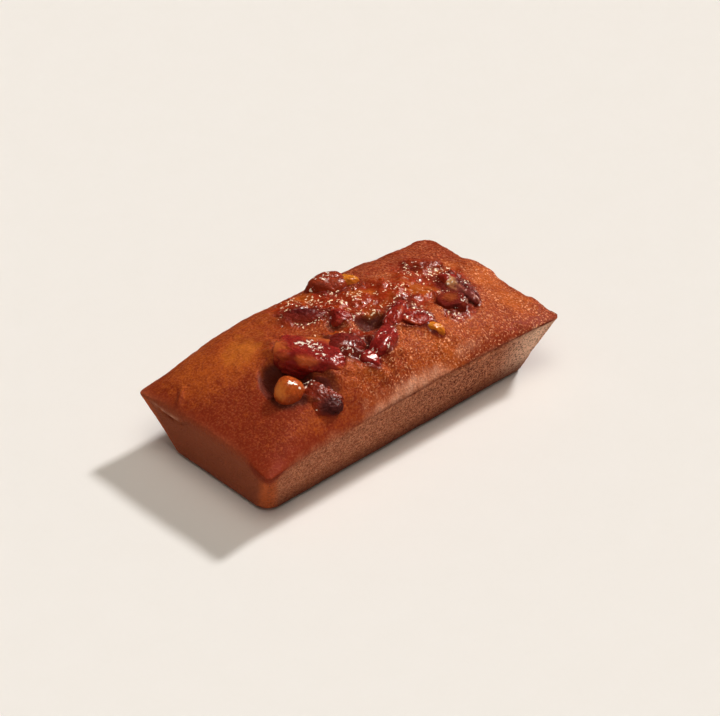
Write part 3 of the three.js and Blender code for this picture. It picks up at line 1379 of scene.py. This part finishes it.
@dataclass
class Cake:
    """The baked ingot: a domed crust over drafted walls, replaced by a fine mesh."""

    nuts: list[Nut]
    rim_height: float = 15.6
    base_length: float = 81.8
    base_width: float = 32.6
    rim_corner: float = 1.4
    far_corner: float = 4.0
    corner_flare: float = 0.5
    flare_reach: float = 5.0
    base_corner: float = 4.0
    base_edge: float = 1.6
    far_base_edge: float = 1.0
    base_inset: float = 0.9
    dome_rise: float = 9.5
    dome_crown: float = 1.4
    dome_peak_x: float = -12.0
    power_along: float = 2.3
    power_across: float = 6.0
    lift_front: float = 1.2
    lift_back: float = 3.2
    lift_end: float = 1.2
    lift_power: float = 8.0
    crowding: float = 1.25
    cells_along: int = 330
    cells_across: int = 160
    cells_up: int = 42
    soft_steps: int = 8
    soft_rounds: int = 8
    soft_reach: float = 3.2
    streak_height: float = 0.14
    streak_share: float = 0.7
    honey_share: float = 0.6
    gloss_share: float = 0.2
    spark_share: float = 0.85
    stain_and_contact_shade_share: float = 0.85
    dip_shade_share: float = 0.9
    steep_shade_share: float = 0.8
    foot_shade_share: float = 0.9
    foot_shade_height: float = 9.0
    slope_step: float = 0.4
    rim_length: float = field(init=False)
    rim_width: float = field(init=False)
    swells: tuple[Layer, ...] = (Layer(0.3, 15.0), Layer(0.16, 6.0, 7.0))
    far_swell: Layer = Layer(0.3, 4.2, 8.0)
    lumps: tuple[Layer, ...] = (Layer(0.12, 2.4, 1.0), Layer(0.08, 1.1, 2.0))
    pebbles: Layer = Layer(0.09, 0.8, 4.0)
    sticky_bend: Layer = Layer(0.9, 2.2, 15.0)
    sticky_lumps: tuple[Layer, ...] = (Layer(0.4, 3.4, 11.0), Layer(0.1, 1.6, 12.0))
    sticky_grain: Layer = Layer(0.17, 0.8, 16.0)
    bank_grain: Layer = Layer(0.8, 2.4, 14.0)
    dip_bends: tuple[Layer, Layer] = (Layer(1.4, 3.6, 51.0), Layer(1.4, 3.6, 52.0))
    glaze_edge: tuple[Layer, ...] = (Layer(1.0, 4.0, 3.0), Layer(0.5, 1.6, 5.0))
    wall_swells: tuple[Layer, ...] = (Layer(0.12, 9.0), Layer(0.05, 2.4, 1.0))
    patchiness: Layer = Layer(0.6, 3.0, 62.0)
    raggedness: Layer = Layer(1.0, 2.0, 61.0)
    hollows: tuple[Hollow, ...] = (
        Hollow(-24.6, -5.6, 6.2, 4.4),
        Hollow(2.0, -5.0, 3.6, 2.4),
        Hollow(23.8, -6.6, 2.4, 1.4),
        Hollow(27.8, -9.9, 2.2, 1.4),
        Hollow(-5.6, -1.0, 2.4, 1.0),
        Hollow(-5.6, -11.0, 2.2, 1.2),
        Hollow(14.5, 1.9, 4.4, -1.1),
        Hollow(14.2, 6.8, 3.4, -0.7),
        Hollow(20.6, 3.9, 4.0, -0.9),
        Hollow(6.3, 3.8, 3.8, -0.8),
        Hollow(2.7, 6.0, 3.0, -0.5),
        Hollow(20.0, -3.4, 2.8, -0.7),
        Hollow(17.3, -8.6, 3.2, -0.8),
        Hollow(-17.0, -16.0, 5.0, -0.9),
        Hollow(-12.0, -14.0, 3.4, -0.8),
        Hollow(-25.0, 19.0, 20.0, -0.5),
        Hollow(43.0, 3.0, 6.0, -1.1),
        Hollow(43.0, -15.0, 4.0, -0.9),
    )
    creases: tuple[Crease, ...] = (
        Crease((23.3, 0.3), (21.5, -7.2), 0.7, 0.8),
        Crease((10.4, -17.0), (8.9, -21.0), 0.6, -0.45),
        Crease((-40.0, 12.4), (-43.8, 9.8), 0.7, 0.6),
        Crease((-16.5, 2.4), (-9.6, -4.8), 0.9, 1.2),
        Crease((-26.4, -12.6), (-23.5, -19.0), 0.7, 0.8),
    )
    strand: Crease = Crease((4.8, -9.8), (9.4, -12.9), 0.5, 0.6)
    pales: tuple[Patch, ...] = (
        Patch(40.0, -12.5, 6.0, 7.0),
        Patch(41.0, -2.5, 5.0, 6.0),
        Patch(36.0, 8.0, 4.0, 5.0),
        Patch(-30.0, -17.5, 7.0, 3.0),
        Patch(-27.0, 6.0, 7.0, 5.0),
    )
    honey: Patch = Patch(-25.5, 8.5, 7.0, 4.5, 20.0)
    syrups: tuple[Patch, ...] = (
        Patch(8.0, 1.0, 17.0, 9.0, -22.0),
        Patch(28.0, 2.0, 10.0, 11.0),
        Patch(-4.0, 9.0, 12.0, 8.0),
        Patch(-8.0, -8.0, 9.5, 7.2, -30.0),
        # This patch lays darker syrup beside the cube, partly as painted shade.
        Patch(22.5, -12.0, 5.0, 3.4),
    )
    pools: tuple[Patch, ...] = (
        Patch(-9.0, -9.0, 8.5, 5.6, -30.0),
        Patch(2.0, -5.0, 5.0, 3.6),
        Patch(30.0, -3.0, 6.0, 5.0),
    )
    toasts: tuple[Shade, ...] = (
        Shade(0.32),
        Shade(-0.1, along=(-20.0, -34.0)),
        Shade(0.3, along=(-16.0, -40.0), across=(-2.0, 12.0)),
        Shade(0.12, along=(-6.0, 10.0)),
        Shade(-0.3, along=(12.0, 34.0)),
        Shade(-0.4, along=(-36.0, -40.0), inward=(6.0, 0.0)),
        Shade(-0.55, along=(-12.0, -2.0), across=(6.0, 14.0)),
        Shade(-0.24, along=(-20.0, -32.0), across=(10.0, -6.0)),
        Shade(-0.3, along=(14.0, 20.0), across=(0.0, -8.0), inward=(3.0, 0.5)),
    )
    pale_toasts: tuple[Shade, ...] = (Shade(0.28), Shade(0.17, along=(-20.0, 0.0)))

    def __post_init__(self) -> None:
        """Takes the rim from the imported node."""
        low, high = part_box("cake")
        self.rim_length = (high.x - low.x) / MM
        self.rim_width = (high.y - low.y) / MM

    def crust_height(self, x: Array, y: Array) -> Array:
        """Height of the plain dome at places in plan, in millimetres.

        Args:
            x: Places along the cake.
            y: Places across the cake.

        Returns:
            One height for each place.
        """
        along = np.abs(2 * x / self.rim_length)
        across = np.abs(2 * y / self.rim_width)
        half = self.rim_length / 2 - np.sign(x - self.dome_peak_x) * self.dome_peak_x
        from_peak = np.abs(x - self.dome_peak_x) / half
        side = np.where(y < 0, self.lift_front, self.lift_back) * (1 - along**2) * across**self.lift_power
        end = self.lift_end * (1 - across**2) * along**self.lift_power
        shoulder = (1 - from_peak**self.power_along) * (1 - across**self.power_across)
        crown = (1 - along**2) * (1 - across**2)
        return self.rim_height + side + end + self.dome_rise * shoulder + self.dome_crown * crown

    def drop(self, x: Array, y: Array) -> Array:
        """How far the dips in the crust sink it at places in plan.

        Args:
            x: Places along the cake.
            y: Places across the cake.

        Returns:
            Depths in millimetres.
        """
        flat = np.stack([x, y, np.zeros_like(x)], axis=1)
        bent_x, bent_y = x + self.dip_bends[0].swells(flat), y + self.dip_bends[1].swells(flat)
        return np.sum([hollow.drop(bent_x, bent_y) for hollow in self.hollows], axis=0)

    def surface(self, x: Array, y: Array) -> Array:
        """Height of the crust with its dips, in millimetres."""
        return self.crust_height(x, y) - self.drop(x, y)

    def _blank(self) -> Mesh:
        """A grid for the crust whose edge is drawn down in rings for the walls, and closed below.

        Returns:
            A mesh whose X and Y run from -1 to 1 and whose Z counts the rings below the rim.
        """
        work = bmesh.new()
        bmesh.ops.create_grid(work, x_segments=self.cells_along, y_segments=self.cells_across, size=1.0)
        rim = [edge for edge in work.edges if edge.is_boundary]
        for number in range(self.cells_up + 1):
            made = bmesh.ops.extrude_edge_only(work, edges=rim)["geom"]
            ring = [item for item in made if isinstance(item, bmesh.types.BMVert)]
            if number < self.cells_up:
                bmesh.ops.translate(work, verts=ring, vec=(0.0, 0.0, -1.0))
            else:
                bmesh.ops.scale(work, verts=ring, vec=(self.base_inset, self.base_inset, 1.0))
            rim = [item for item in made if isinstance(item, bmesh.types.BMEdge) and item.is_boundary]
        bmesh.ops.edgeloop_fill(work, edges=rim)
        bmesh.ops.recalc_face_normals(work, faces=work.faces)
        return new_mesh("cake_look", work)

    @staticmethod
    def _round_corners(
        x: Array, y: Array, half_x: Array, half_y: Array, radius: Array
    ) -> tuple[Array, Array]:
        """Pulls places near the corners of a rectangle onto the corners' arcs.

        Args:
            x: Places along the cake.
            y: Places across the cake.
            half_x: Half length of the rectangle that each place is in.
            half_y: Half width of that rectangle.
            radius: Radius of its corners.

        Returns:
            The moved places.
        """
        past_x = np.abs(x) - (half_x - radius)
        past_y = np.abs(y) - (half_y - radius)
        corner = (past_x > 0) & (past_y > 0)
        far = np.where(corner, np.hypot(past_x, past_y), 1.0)
        kept = np.where(corner, np.maximum(past_x, past_y) / far, 1.0)
        new_x = np.where(corner, np.sign(x) * (half_x - radius + past_x * kept), x)
        new_y = np.where(corner, np.sign(y) * (half_y - radius + past_y * kept), y)
        return new_x, new_y

    def _ingot(self, blank: Array) -> tuple[Array, Array, Array]:
        """The plain ingot.

        Args:
            blank: Points of the blank mesh.

        Returns:
            The points in millimetres, how far each lies below the rim, and how far from an upright corner.
        """
        share = np.clip(1.0 + blank[:, 2] / self.cells_up, 0.0, 1.0)
        height = self.rim_height * share
        sharper = (self.base_edge - self.far_base_edge) * smooth_step(0.6, 1.0, blank[:, 0])
        base_edge = self.base_edge - sharper
        under = np.clip(1.0 - height / base_edge, 0.0, 1.0)
        inset = base_edge * (1.0 - np.sqrt(1.0 - under**2))
        half_x = (self.base_length + (self.rim_length - self.base_length) * share) / 2 - inset
        half_y = (self.base_width + (self.rim_width - self.base_width) * share) / 2 - inset
        rim_corner = np.where((blank[:, 0] > 0) & (blank[:, 1] > 0), self.far_corner, self.rim_corner)
        radius = self.base_corner + (rim_corner - self.base_corner) * share
        crowd = np.sign(blank[:, :2]) * (1.0 - (1.0 - np.abs(blank[:, :2])) ** self.crowding)
        x, y = half_x * crowd[:, 0], half_y * crowd[:, 1]
        rise = (self.crust_height(x, y) - self.rim_height) * share**self.lift_power
        x, y = self._round_corners(x, y, half_x, half_y, radius)
        from_corner = np.hypot(self.rim_length / 2 - np.abs(x), self.rim_width / 2 - np.abs(y))
        flare = self.corner_flare * peak(from_corner, self.flare_reach) * share
        below = (1.0 - share) * self.rim_height
        gap = np.hypot(half_x - np.abs(x), half_y - np.abs(y))
        return np.stack([x + np.sign(x) * flare, y + np.sign(y) * flare, height + rise], axis=1), below, gap

    def _soften(self, mesh: Mesh, ground: Ground) -> None:
        """Rounds the rim, most along the near half of the front and least at the corners.

        Args:
            mesh: The plain ingot.
            ground: What lies where on it.
        """
        softness = ground.softness()
        work = bmesh.new()
        work.from_mesh(mesh)
        work.verts.ensure_lookup_table()
        axes = {"use_axis_x": True, "use_axis_y": True, "use_axis_z": True}
        for step in range(self.soft_steps):
            level = (step + 0.5) / self.soft_steps
            near = (softness > level) & (np.abs(ground.rim) < self.soft_reach * softness)
            verts = [work.verts[int(i)] for i in np.nonzero(near)[0]]
            for _ in range(self.soft_rounds):
                bmesh.ops.smooth_vert(work, verts=verts, factor=0.5, **axes)
        work.to_mesh(mesh)
        work.free()

    @staticmethod
    def _nearest(patches: tuple[Patch, ...], points: Array) -> Array:
        """Distance from the middle of the nearest patch, 1 at its edge."""
        return np.min([patch.away(points[:, 0], points[:, 1]) for patch in patches], axis=0)

    def _glaze(self, ground: Ground) -> tuple[Array, Array]:
        """Where syrup lies: around the nuts and in the soaked patches, and in those patches alone.

        Args:
            ground: What lies where.

        Returns:
            Both shares for each vertex.
        """
        ragged = layered(self.glaze_edge, ground.points)
        soaked = smooth_step(1.15, 0.7, self._nearest(self.syrups, ground.points) + 0.2 * ragged)
        touching = smooth_step(0.5, -0.2, ground.reach + 0.3 * ragged)
        return np.where(ground.top, np.maximum(soaked, touching), 0.0), np.where(ground.top, soaked, 0.0)

    @staticmethod
    def _rough(ground: Ground, glaze: Array) -> Array:
        """How coarse the grain is: fine on the near end, coarse on the far half and along the sides.

        Args:
            ground: What lies where.
            glaze: Where syrup lies.

        Returns:
            One share for each vertex.
        """
        calm = 0.45 + 0.55 * smooth_step(0.5, 5.0, ground.inside)
        top = (0.4 + 0.5 * smooth_step(-24.0, 6.0, ground.points[:, 0])) * calm
        top = top + (0.3 - top) * glaze
        side = 0.95 - 0.4 * ground.end
        return top + (side - top) * ground.wall

    def _top_relief(self, ground: Ground, glaze: Array, rough: Array) -> Array:
        """How far the crust on top stands out from the plain dome, in millimetres.

        Args:
            ground: What lies where.
            glaze: Where syrup lies.
            rough: How coarse the grain is.

        Returns:
            One height for each vertex.
        """
        points = ground.points
        x, y = points[:, 0], points[:, 1]
        far = smooth_step(8.0, 26.0, x)
        coarse = 0.95 + 0.25 * smooth_step(-16.0, 4.0, x)
        relief = layered(self.swells, points)
        relief += far * self.far_swell.swells(points) + rough * self.pebbles.swells(points)
        relief += coarse * layered(self.lumps, points)
        bent = points + self.sticky_bend.swells(points)[:, None]
        sticky = np.sum([layer.domes(bent) for layer in self.sticky_lumps], axis=0)
        relief += glaze * (sticky + self.sticky_grain.swells(points))
        bank = np.max([nut.rise(x, y, points[:, 2]) for nut in self.nuts], axis=0)
        relief += bank * (0.8 + self.bank_grain.swells(points)) - self.drop(x, y)
        relief += np.sum([crease.rise(x, y) for crease in (*self.creases, self.strand)], axis=0)
        fade = 0.3 + 0.4 * far + (0.7 - 0.4 * far) * smooth_step(0.0, 2.5, ground.inside)
        return fade * relief

    def _side_relief(self, ground: Ground, rough: Array) -> Array:
        """How far the walls stand out from the plain ingot, in millimetres.

        Args:
            ground: What lies where.
            rough: How coarse the grain is.

        Returns:
            One height for each vertex.
        """
        points = ground.points
        relief = layered(self.wall_swells, points)
        relief += 0.14 * rough * (0.5 - cell_field(points, 1.1, 4.0))
        return relief * smooth_step(0.0, 1.5, points[:, 2])

    def _dip_shade(self, ground: Ground, drop: Array, ragged: Array) -> Array:
        """Painted shade on the crust in its dips, on the steep walls of dips that face the key light, and
        around nested nuts.

        Args:
            ground: What lies where.
            drop: How far the dips sink the crust.
            ragged: Noise that breaks up the edges.

        Returns:
            One share for each vertex.
        """
        x, y = ground.points[:, 0], ground.points[:, 1]
        step = self.slope_step
        steep = (self.drop(x + step, y) - self.drop(x - step, y)) / (2 * step)
        shares = [self.dip_shade_share * smooth_step(0.15, 1.3, drop + 0.3 * ragged)]
        shares.append(self.steep_shade_share * smooth_step(0.2, 0.8, steep + 0.2 * ragged))
        for nut in self.nuts:
            if nut.plan.nest_shade:
                shares.append(nut.plan.nest_shade * smooth_step(2.5, 0.7, nut.reach(x, y) + 0.7 * ragged))
        return np.max(shares, axis=0)

    def _browning_and_painted_light(self, ground: Ground, glaze: Array, soaked: Array) -> dict[str, Array]:
        """What the finish of the crust reads beside the zones: browning, syrup, painted highlight flecks and
        specks, and painted shade in dips and around the nuts.

        Args:
            ground: What lies where.
            glaze: Where syrup lies.
            soaked: Where it lies in the soaked patches.

        Returns:
            The values by name.
        """
        points = ground.points
        x, y = points[:, 0], points[:, 1]
        drop = self.drop(x, y)
        shallow = smooth_step(1.0, 0.2, drop)
        ragged = self.raggedness.swells(points)
        patchy = 0.6 + self.patchiness.swells(points)
        pale = smooth_step(1.2, 0.4, self._nearest(self.pales, points))
        toast = np.sum([shade.at(x, y, ground.inside) for shade in self.toasts], axis=0)
        toast += pale * np.sum([shade.at(x, y, ground.inside) for shade in self.pale_toasts], axis=0)
        pool = 0.3 * drop + 0.3 + 0.6 * smooth_step(1.1, 0.6, self._nearest(self.pools, points))
        # Painted highlight: pale flecks on the dry crust, more toward the far half.
        highlight_fleck = 0.07 + 0.83 * smooth_step(-22.0, -2.0, x) + 0.3 * pale * smooth_step(-20.0, 0.0, x)
        highlight_fleck = highlight_fleck * (1.0 - 0.85 * glaze) * (1.0 - 0.6 * smooth_step(6.0, 13.0, y))
        # Syrup stain and painted contact shade around the nuts.
        stain_and_contact_shade = self.stain_and_contact_shade_share * glaze * smooth_step(1.8, 0.0, ground.reach + 0.7 * ragged)
        top = 1.0 - ground.wall
        return {
            "toast": toast,
            "pool": np.clip(pool, 0.0, 1.0),
            "gloss": self.gloss_share * top * glaze * shallow * smooth_step(15.0, 10.0, y),
            "highlight_fleck": np.clip(highlight_fleck * top * (0.5 + 0.5 * shallow) * patchy, 0.0, 1.0),
            # Painted highlight: glint specks in the soaked syrup.
            "spark": np.clip(self.spark_share * soaked * patchy * (0.4 + 0.6 * shallow), 0.0, 1.0),
            # Painted shade in dips, on steep walls and around nested nuts.
            "painted_dip_shade": self._dip_shade(ground, drop, ragged),
            "honey": self.honey_share * smooth_step(1.1, 0.3, self.honey.away(x, y) + 0.5 * ragged),
            "stain_and_contact_shade": np.maximum(stain_and_contact_shade, self.strand.rise(x, y) / self.strand.height),
        }

    def _wall_tones(self, ground: Ground) -> dict[str, Array]:
        """What the finish of the walls reads: painted shade darkening the foot, the paler far end of the
        front, and the pores.

        Args:
            ground: What lies where.

        Returns:
            The values by name.
        """
        x, y, z = ground.points.T
        # Paler toward the far end of the front wall.
        paler_far_front = smooth_step(26.0, 40.0, x) * smooth_step(-4.0, -10.0, y)
        pitted = smooth_step(0.4, 1.8, ground.below) * (0.4 + 0.6 * smooth_step(-30.0, 14.0, x))
        pitted = pitted * (1.0 - 0.8 * ground.end) * (1.0 - 0.35 * paler_far_front)
        # Darker toward the floor: mostly painted shade, partly the wall's own browner foot.
        foot_shade = self.foot_shade_share * smooth_step(self.foot_shade_height, 0.0, z)
        return {"paler_far_front": paler_far_front, "pitted": pitted, "foot_shade": foot_shade}

    def build(self) -> Piece:
        """Makes the fine mesh and paints what its finish reads.

        Returns:
            The finished object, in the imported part's frame.
        """
        mesh = self._blank()
        points, below, gap = self._ingot(read_points(mesh))
        write_points(mesh, points)
        reach = np.min([nut.reach(points[:, 0], points[:, 1]) for nut in self.nuts], axis=0)
        half_length, half_width = self.rim_length / 2, self.rim_width / 2
        ground = Ground(points, below, read_normals(mesh), reach, gap, half_length, half_width)
        self._soften(mesh, ground)
        ground.points = read_points(mesh) / MM
        mesh.update()
        glaze, soaked = self._glaze(ground)
        rough = self._rough(ground, glaze)
        streak = ground.streak()
        top_relief = self._top_relief(ground, glaze, rough) + self.streak_height * streak
        relief = np.where(ground.top, top_relief, self._side_relief(ground, rough)) + ground.lip()
        write_points(mesh, ground.points + read_normals(mesh) * relief[:, None])
        paint(mesh, wall=ground.wall, end=ground.end, corner=ground.corner, seam=ground.seam())
        paint(mesh, glaze=glaze, rough=rough, streak=self.streak_share * streak)
        paint(mesh, **self._browning_and_painted_light(ground, glaze, soaked), **self._wall_tones(ground))
        return finish_object(mesh)


@dataclass
class Bits:
    """Chopped nut bits and lumps of syrup between the nuts, joined in one mesh."""

    cake: Cake
    crust: Piece
    count: int = 50
    smallest: float = 0.9
    largest: float = 2.0
    clearance: float = 0.2
    patch_edge: float = 0.95
    sunk: float = 0.3
    deepest: float = 0.2
    half_height: float = 0.45
    lumpiness: float = 0.45
    turn_step: float = 2.4
    painted_glint_amount: float = 0.5
    seed: int = 11

    def _spots(self) -> list[Triple]:
        """Places and sizes for the bits, clear of the nuts and inside the soaked patches.

        Returns:
            X, Y and size of each bit in millimetres.
        """
        generator = np.random.default_rng(self.seed)
        patches = self.cake.syrups
        spots: list[Triple] = []
        while len(spots) < self.count:
            patch = patches[int(generator.integers(len(patches)))]
            x = patch.x + patch.half_length * generator.uniform(-1.0, 1.0)
            y = patch.y + patch.half_width * generator.uniform(-1.0, 1.0)
            size = self.smallest + (self.largest - self.smallest) * generator.random() ** 2
            place = np.array([x]), np.array([y])
            if patch.away(*place)[0] > self.patch_edge or self.cake.drop(*place)[0] > self.deepest:
                continue
            if min(nut.reach(*place)[0] for nut in self.cake.nuts) > self.clearance:
                spots.append((x, y, size))
        return spots

    def build(self) -> Piece:
        """Makes one small lump for each place and joins them.

        Returns:
            The finished object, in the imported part's frame.
        """
        surface = read_points(self.crust.data) / MM
        work = bmesh.new()
        tints: list[float] = []
        for number, (x, y, size) in enumerate(self._spots()):
            nearest = int(np.argmin(np.hypot(surface[:, 0] - x, surface[:, 1] - y) - 0.01 * surface[:, 2]))
            stretch = 1.0 + 0.5 * noise.noise(Vector((number * 1.7, 0.3, 0.0)))
            frame = Matrix.Translation((x, y, surface[nearest, 2] - self.sunk * size))
            frame = frame @ Matrix.Rotation(number * self.turn_step, 4, "Z")
            frame = frame @ Matrix.Diagonal((size * stretch / 2, size / 2, size * self.half_height, 1.0))
            made = bmesh.ops.create_icosphere(work, subdivisions=3, radius=1.0)["verts"]
            for vert in made:
                lump = noise.noise(vert.co * 1.3 + Vector((number * 3.1, 0.0, 0.0)))
                vert.co = vert.co * (1.0 + self.lumpiness * lump)
            bmesh.ops.transform(work, matrix=frame, verts=made)
            tints += [noise.noise(Vector((number * 5.3, 2.0, 0.0))) * 0.9 + 0.5] * len(made)
        mesh = new_mesh("nut_bits", work)
        write_points(mesh, read_points(mesh))
        none = np.zeros(len(tints))
        # Each bit gets painted highlight specks.
        paint(mesh, ridge=np.array(tints), flesh=none, soak=none, spark=none + self.painted_glint_amount, wet=none + 1.0)
        return finish_object(mesh)


@dataclass(frozen=True)
class Studio:
    """The pale floor, the lights and the camera of the photograph."""

    floor_size: float = 4.0
    floor_cells: int = 8
    key_direction: Triple = (0.683, -0.03, 0.725)
    key_angle: float = 8.0
    key_power: float = 2.45
    key_colour: Triple = (0.97, 0.99, 1.0)
    fill_colour: Colour = (1.0, 0.95, 0.86, 1.0)
    fill_power: float = 5.6
    fill_level: float = 0.083
    fill_focus: float = 22.0
    fill_axis: Triple = (-0.17, -0.24, 1.0)
    fill_shine: float = 0.06
    panel_power: float = 17.0
    panel_core: float = 15.0
    panel_edge: float = 22.0
    aim: Triple = (7.4, 5.013, 8.0)
    azimuth: float = -42.903
    elevation: float = 36.361
    distance: float = 928.69
    lens: float = 200.0
    sensor: float = 36.0
    clip_start: float = 0.01

    def build(self, effects: Effects) -> None:
        """Makes the floor, the lights and the camera.

        Args:
            effects: The shared node groups.
        """
        self._floor(effects)
        self._lights()
        self._camera()

    def _floor(self, effects: Effects) -> None:
        """Lays the floor under the cake.

        Args:
            effects: The shared node groups.
        """
        work = bmesh.new()
        cells = self.floor_cells
        bmesh.ops.create_grid(work, x_segments=cells, y_segments=cells, size=self.floor_size / 2)
        floor = finish_object(new_mesh("floor", work))
        floor.data.materials.append(FloorFinish().make(effects))
        floor.visible_glossy = False

    def _lights(self) -> None:
        """Sets the key light and the even fill."""
        lamp = bpy.data.lights.new("key", "SUN")
        lamp.energy = self.key_power
        lamp.angle = math.radians(self.key_angle)
        lamp.color = self.key_colour
        key = add_object("key", lamp)
        key.rotation_euler = Vector(self.key_direction).to_track_quat("Z", "Y").to_euler()
        bpy.context.scene.world = self._fill()
        bpy.context.scene.view_settings.view_transform = "Standard"

    @staticmethod
    def _toward(sheet: NodeSheet, axis: Triple) -> Socket:
        """How nearly the sky's direction agrees with an axis, 1 along it.

        Args:
            sheet: The world's sheet.
            axis: The direction.

        Returns:
            The cosine of the angle between them.
        """
        aim = sheet.add("ShaderNodeVectorMath", operation="DOT_PRODUCT")
        sky = sheet.add("ShaderNodeTexCoord").outputs["Generated"]
        return sheet.fill(aim, {0: sky, 1: Vector(axis).normalized()}).outputs["Value"]

    def _fill(self) -> bpy.types.World:
        """Soft light from above and low all round; reflections see less of it, and a panel at the key.

        Returns:
            The world.
        """
        world = bpy.data.worlds.new("fill")
        world.use_nodes = True
        sheet = NodeSheet(world.node_tree)
        overhead = sheet.math("MAXIMUM", self._toward(sheet, self.fill_axis), 0.0)
        upward = sheet.math("POWER", overhead, self.fill_focus)
        flat = sheet.less(1.0, sheet.math("MAXIMUM", self._toward(sheet, (0.0, 0.0, 1.0)), 0.0))
        level = sheet.total(sheet.times(flat, flat, self.fill_level), upward)
        mirrored = sheet.add("ShaderNodeLightPath").outputs["Is Glossy Ray"]
        kept = sheet.less(1.0, sheet.times(mirrored, 1.0 - self.fill_shine))
        edge, core = (math.cos(math.radians(angle)) for angle in (self.panel_edge, self.panel_core))
        panel = sheet.span(self._toward(sheet, self.key_direction), edge, core, 0.0, self.panel_power)
        power = sheet.total(sheet.times(level, kept, self.fill_power), sheet.times(mirrored, panel))
        backdrop = world.node_tree.nodes["Background"]
        sheet.fill(backdrop, {"Color": self.fill_colour, "Strength": power})
        return world

    def _camera(self) -> None:
        """Sets the camera at the photograph's angle."""
        turn, tilt = math.radians(self.azimuth), math.radians(self.elevation)
        back = Vector((math.sin(turn) * math.cos(tilt), -math.cos(turn) * math.cos(tilt), math.sin(tilt)))
        data = bpy.data.cameras.new("camera")
        data.lens = self.lens
        data.sensor_fit = "HORIZONTAL"
        data.sensor_width = self.sensor
        data.clip_start = self.clip_start
        camera = add_object("camera", data)
        camera.location = (Vector(self.aim) + back * self.distance) * MM
        camera.rotation_euler = back.to_track_quat("Z", "Y").to_euler()
        bpy.context.scene.camera = camera


def dress(piece: Piece, material: Material, node: str | None = None) -> None:
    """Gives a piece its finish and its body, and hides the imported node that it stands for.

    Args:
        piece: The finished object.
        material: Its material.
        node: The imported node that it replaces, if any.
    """
    piece.data.materials.append(material)
    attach(piece, BODY)
    if node:
        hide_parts(node)
    LOG.info("%s: %d faces", piece.name, len(piece.data.polygons))


def main() -> None:
    """Builds the studio, the cake and its nuts in order."""
    logging.basicConfig(level=logging.INFO)
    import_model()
    effects = Effects()
    Studio().build(effects)
    nuts = [Nut(plan) for plan in NUTS]
    cake = Cake(nuts)
    crust = cake.build()
    dress(crust, CrustFinish().make(effects), "cake")
    looks = {finish: finish.value.make(effects) for finish in Finish}
    dress(Bits(cake, crust).build(), looks[Finish.SYRUP])
    for nut in nuts:
        finish = nut.plan.finish
        dress(nut.build(cake.surface), looks[finish], nut.plan.node)


if __name__ == "__main__":
    main()
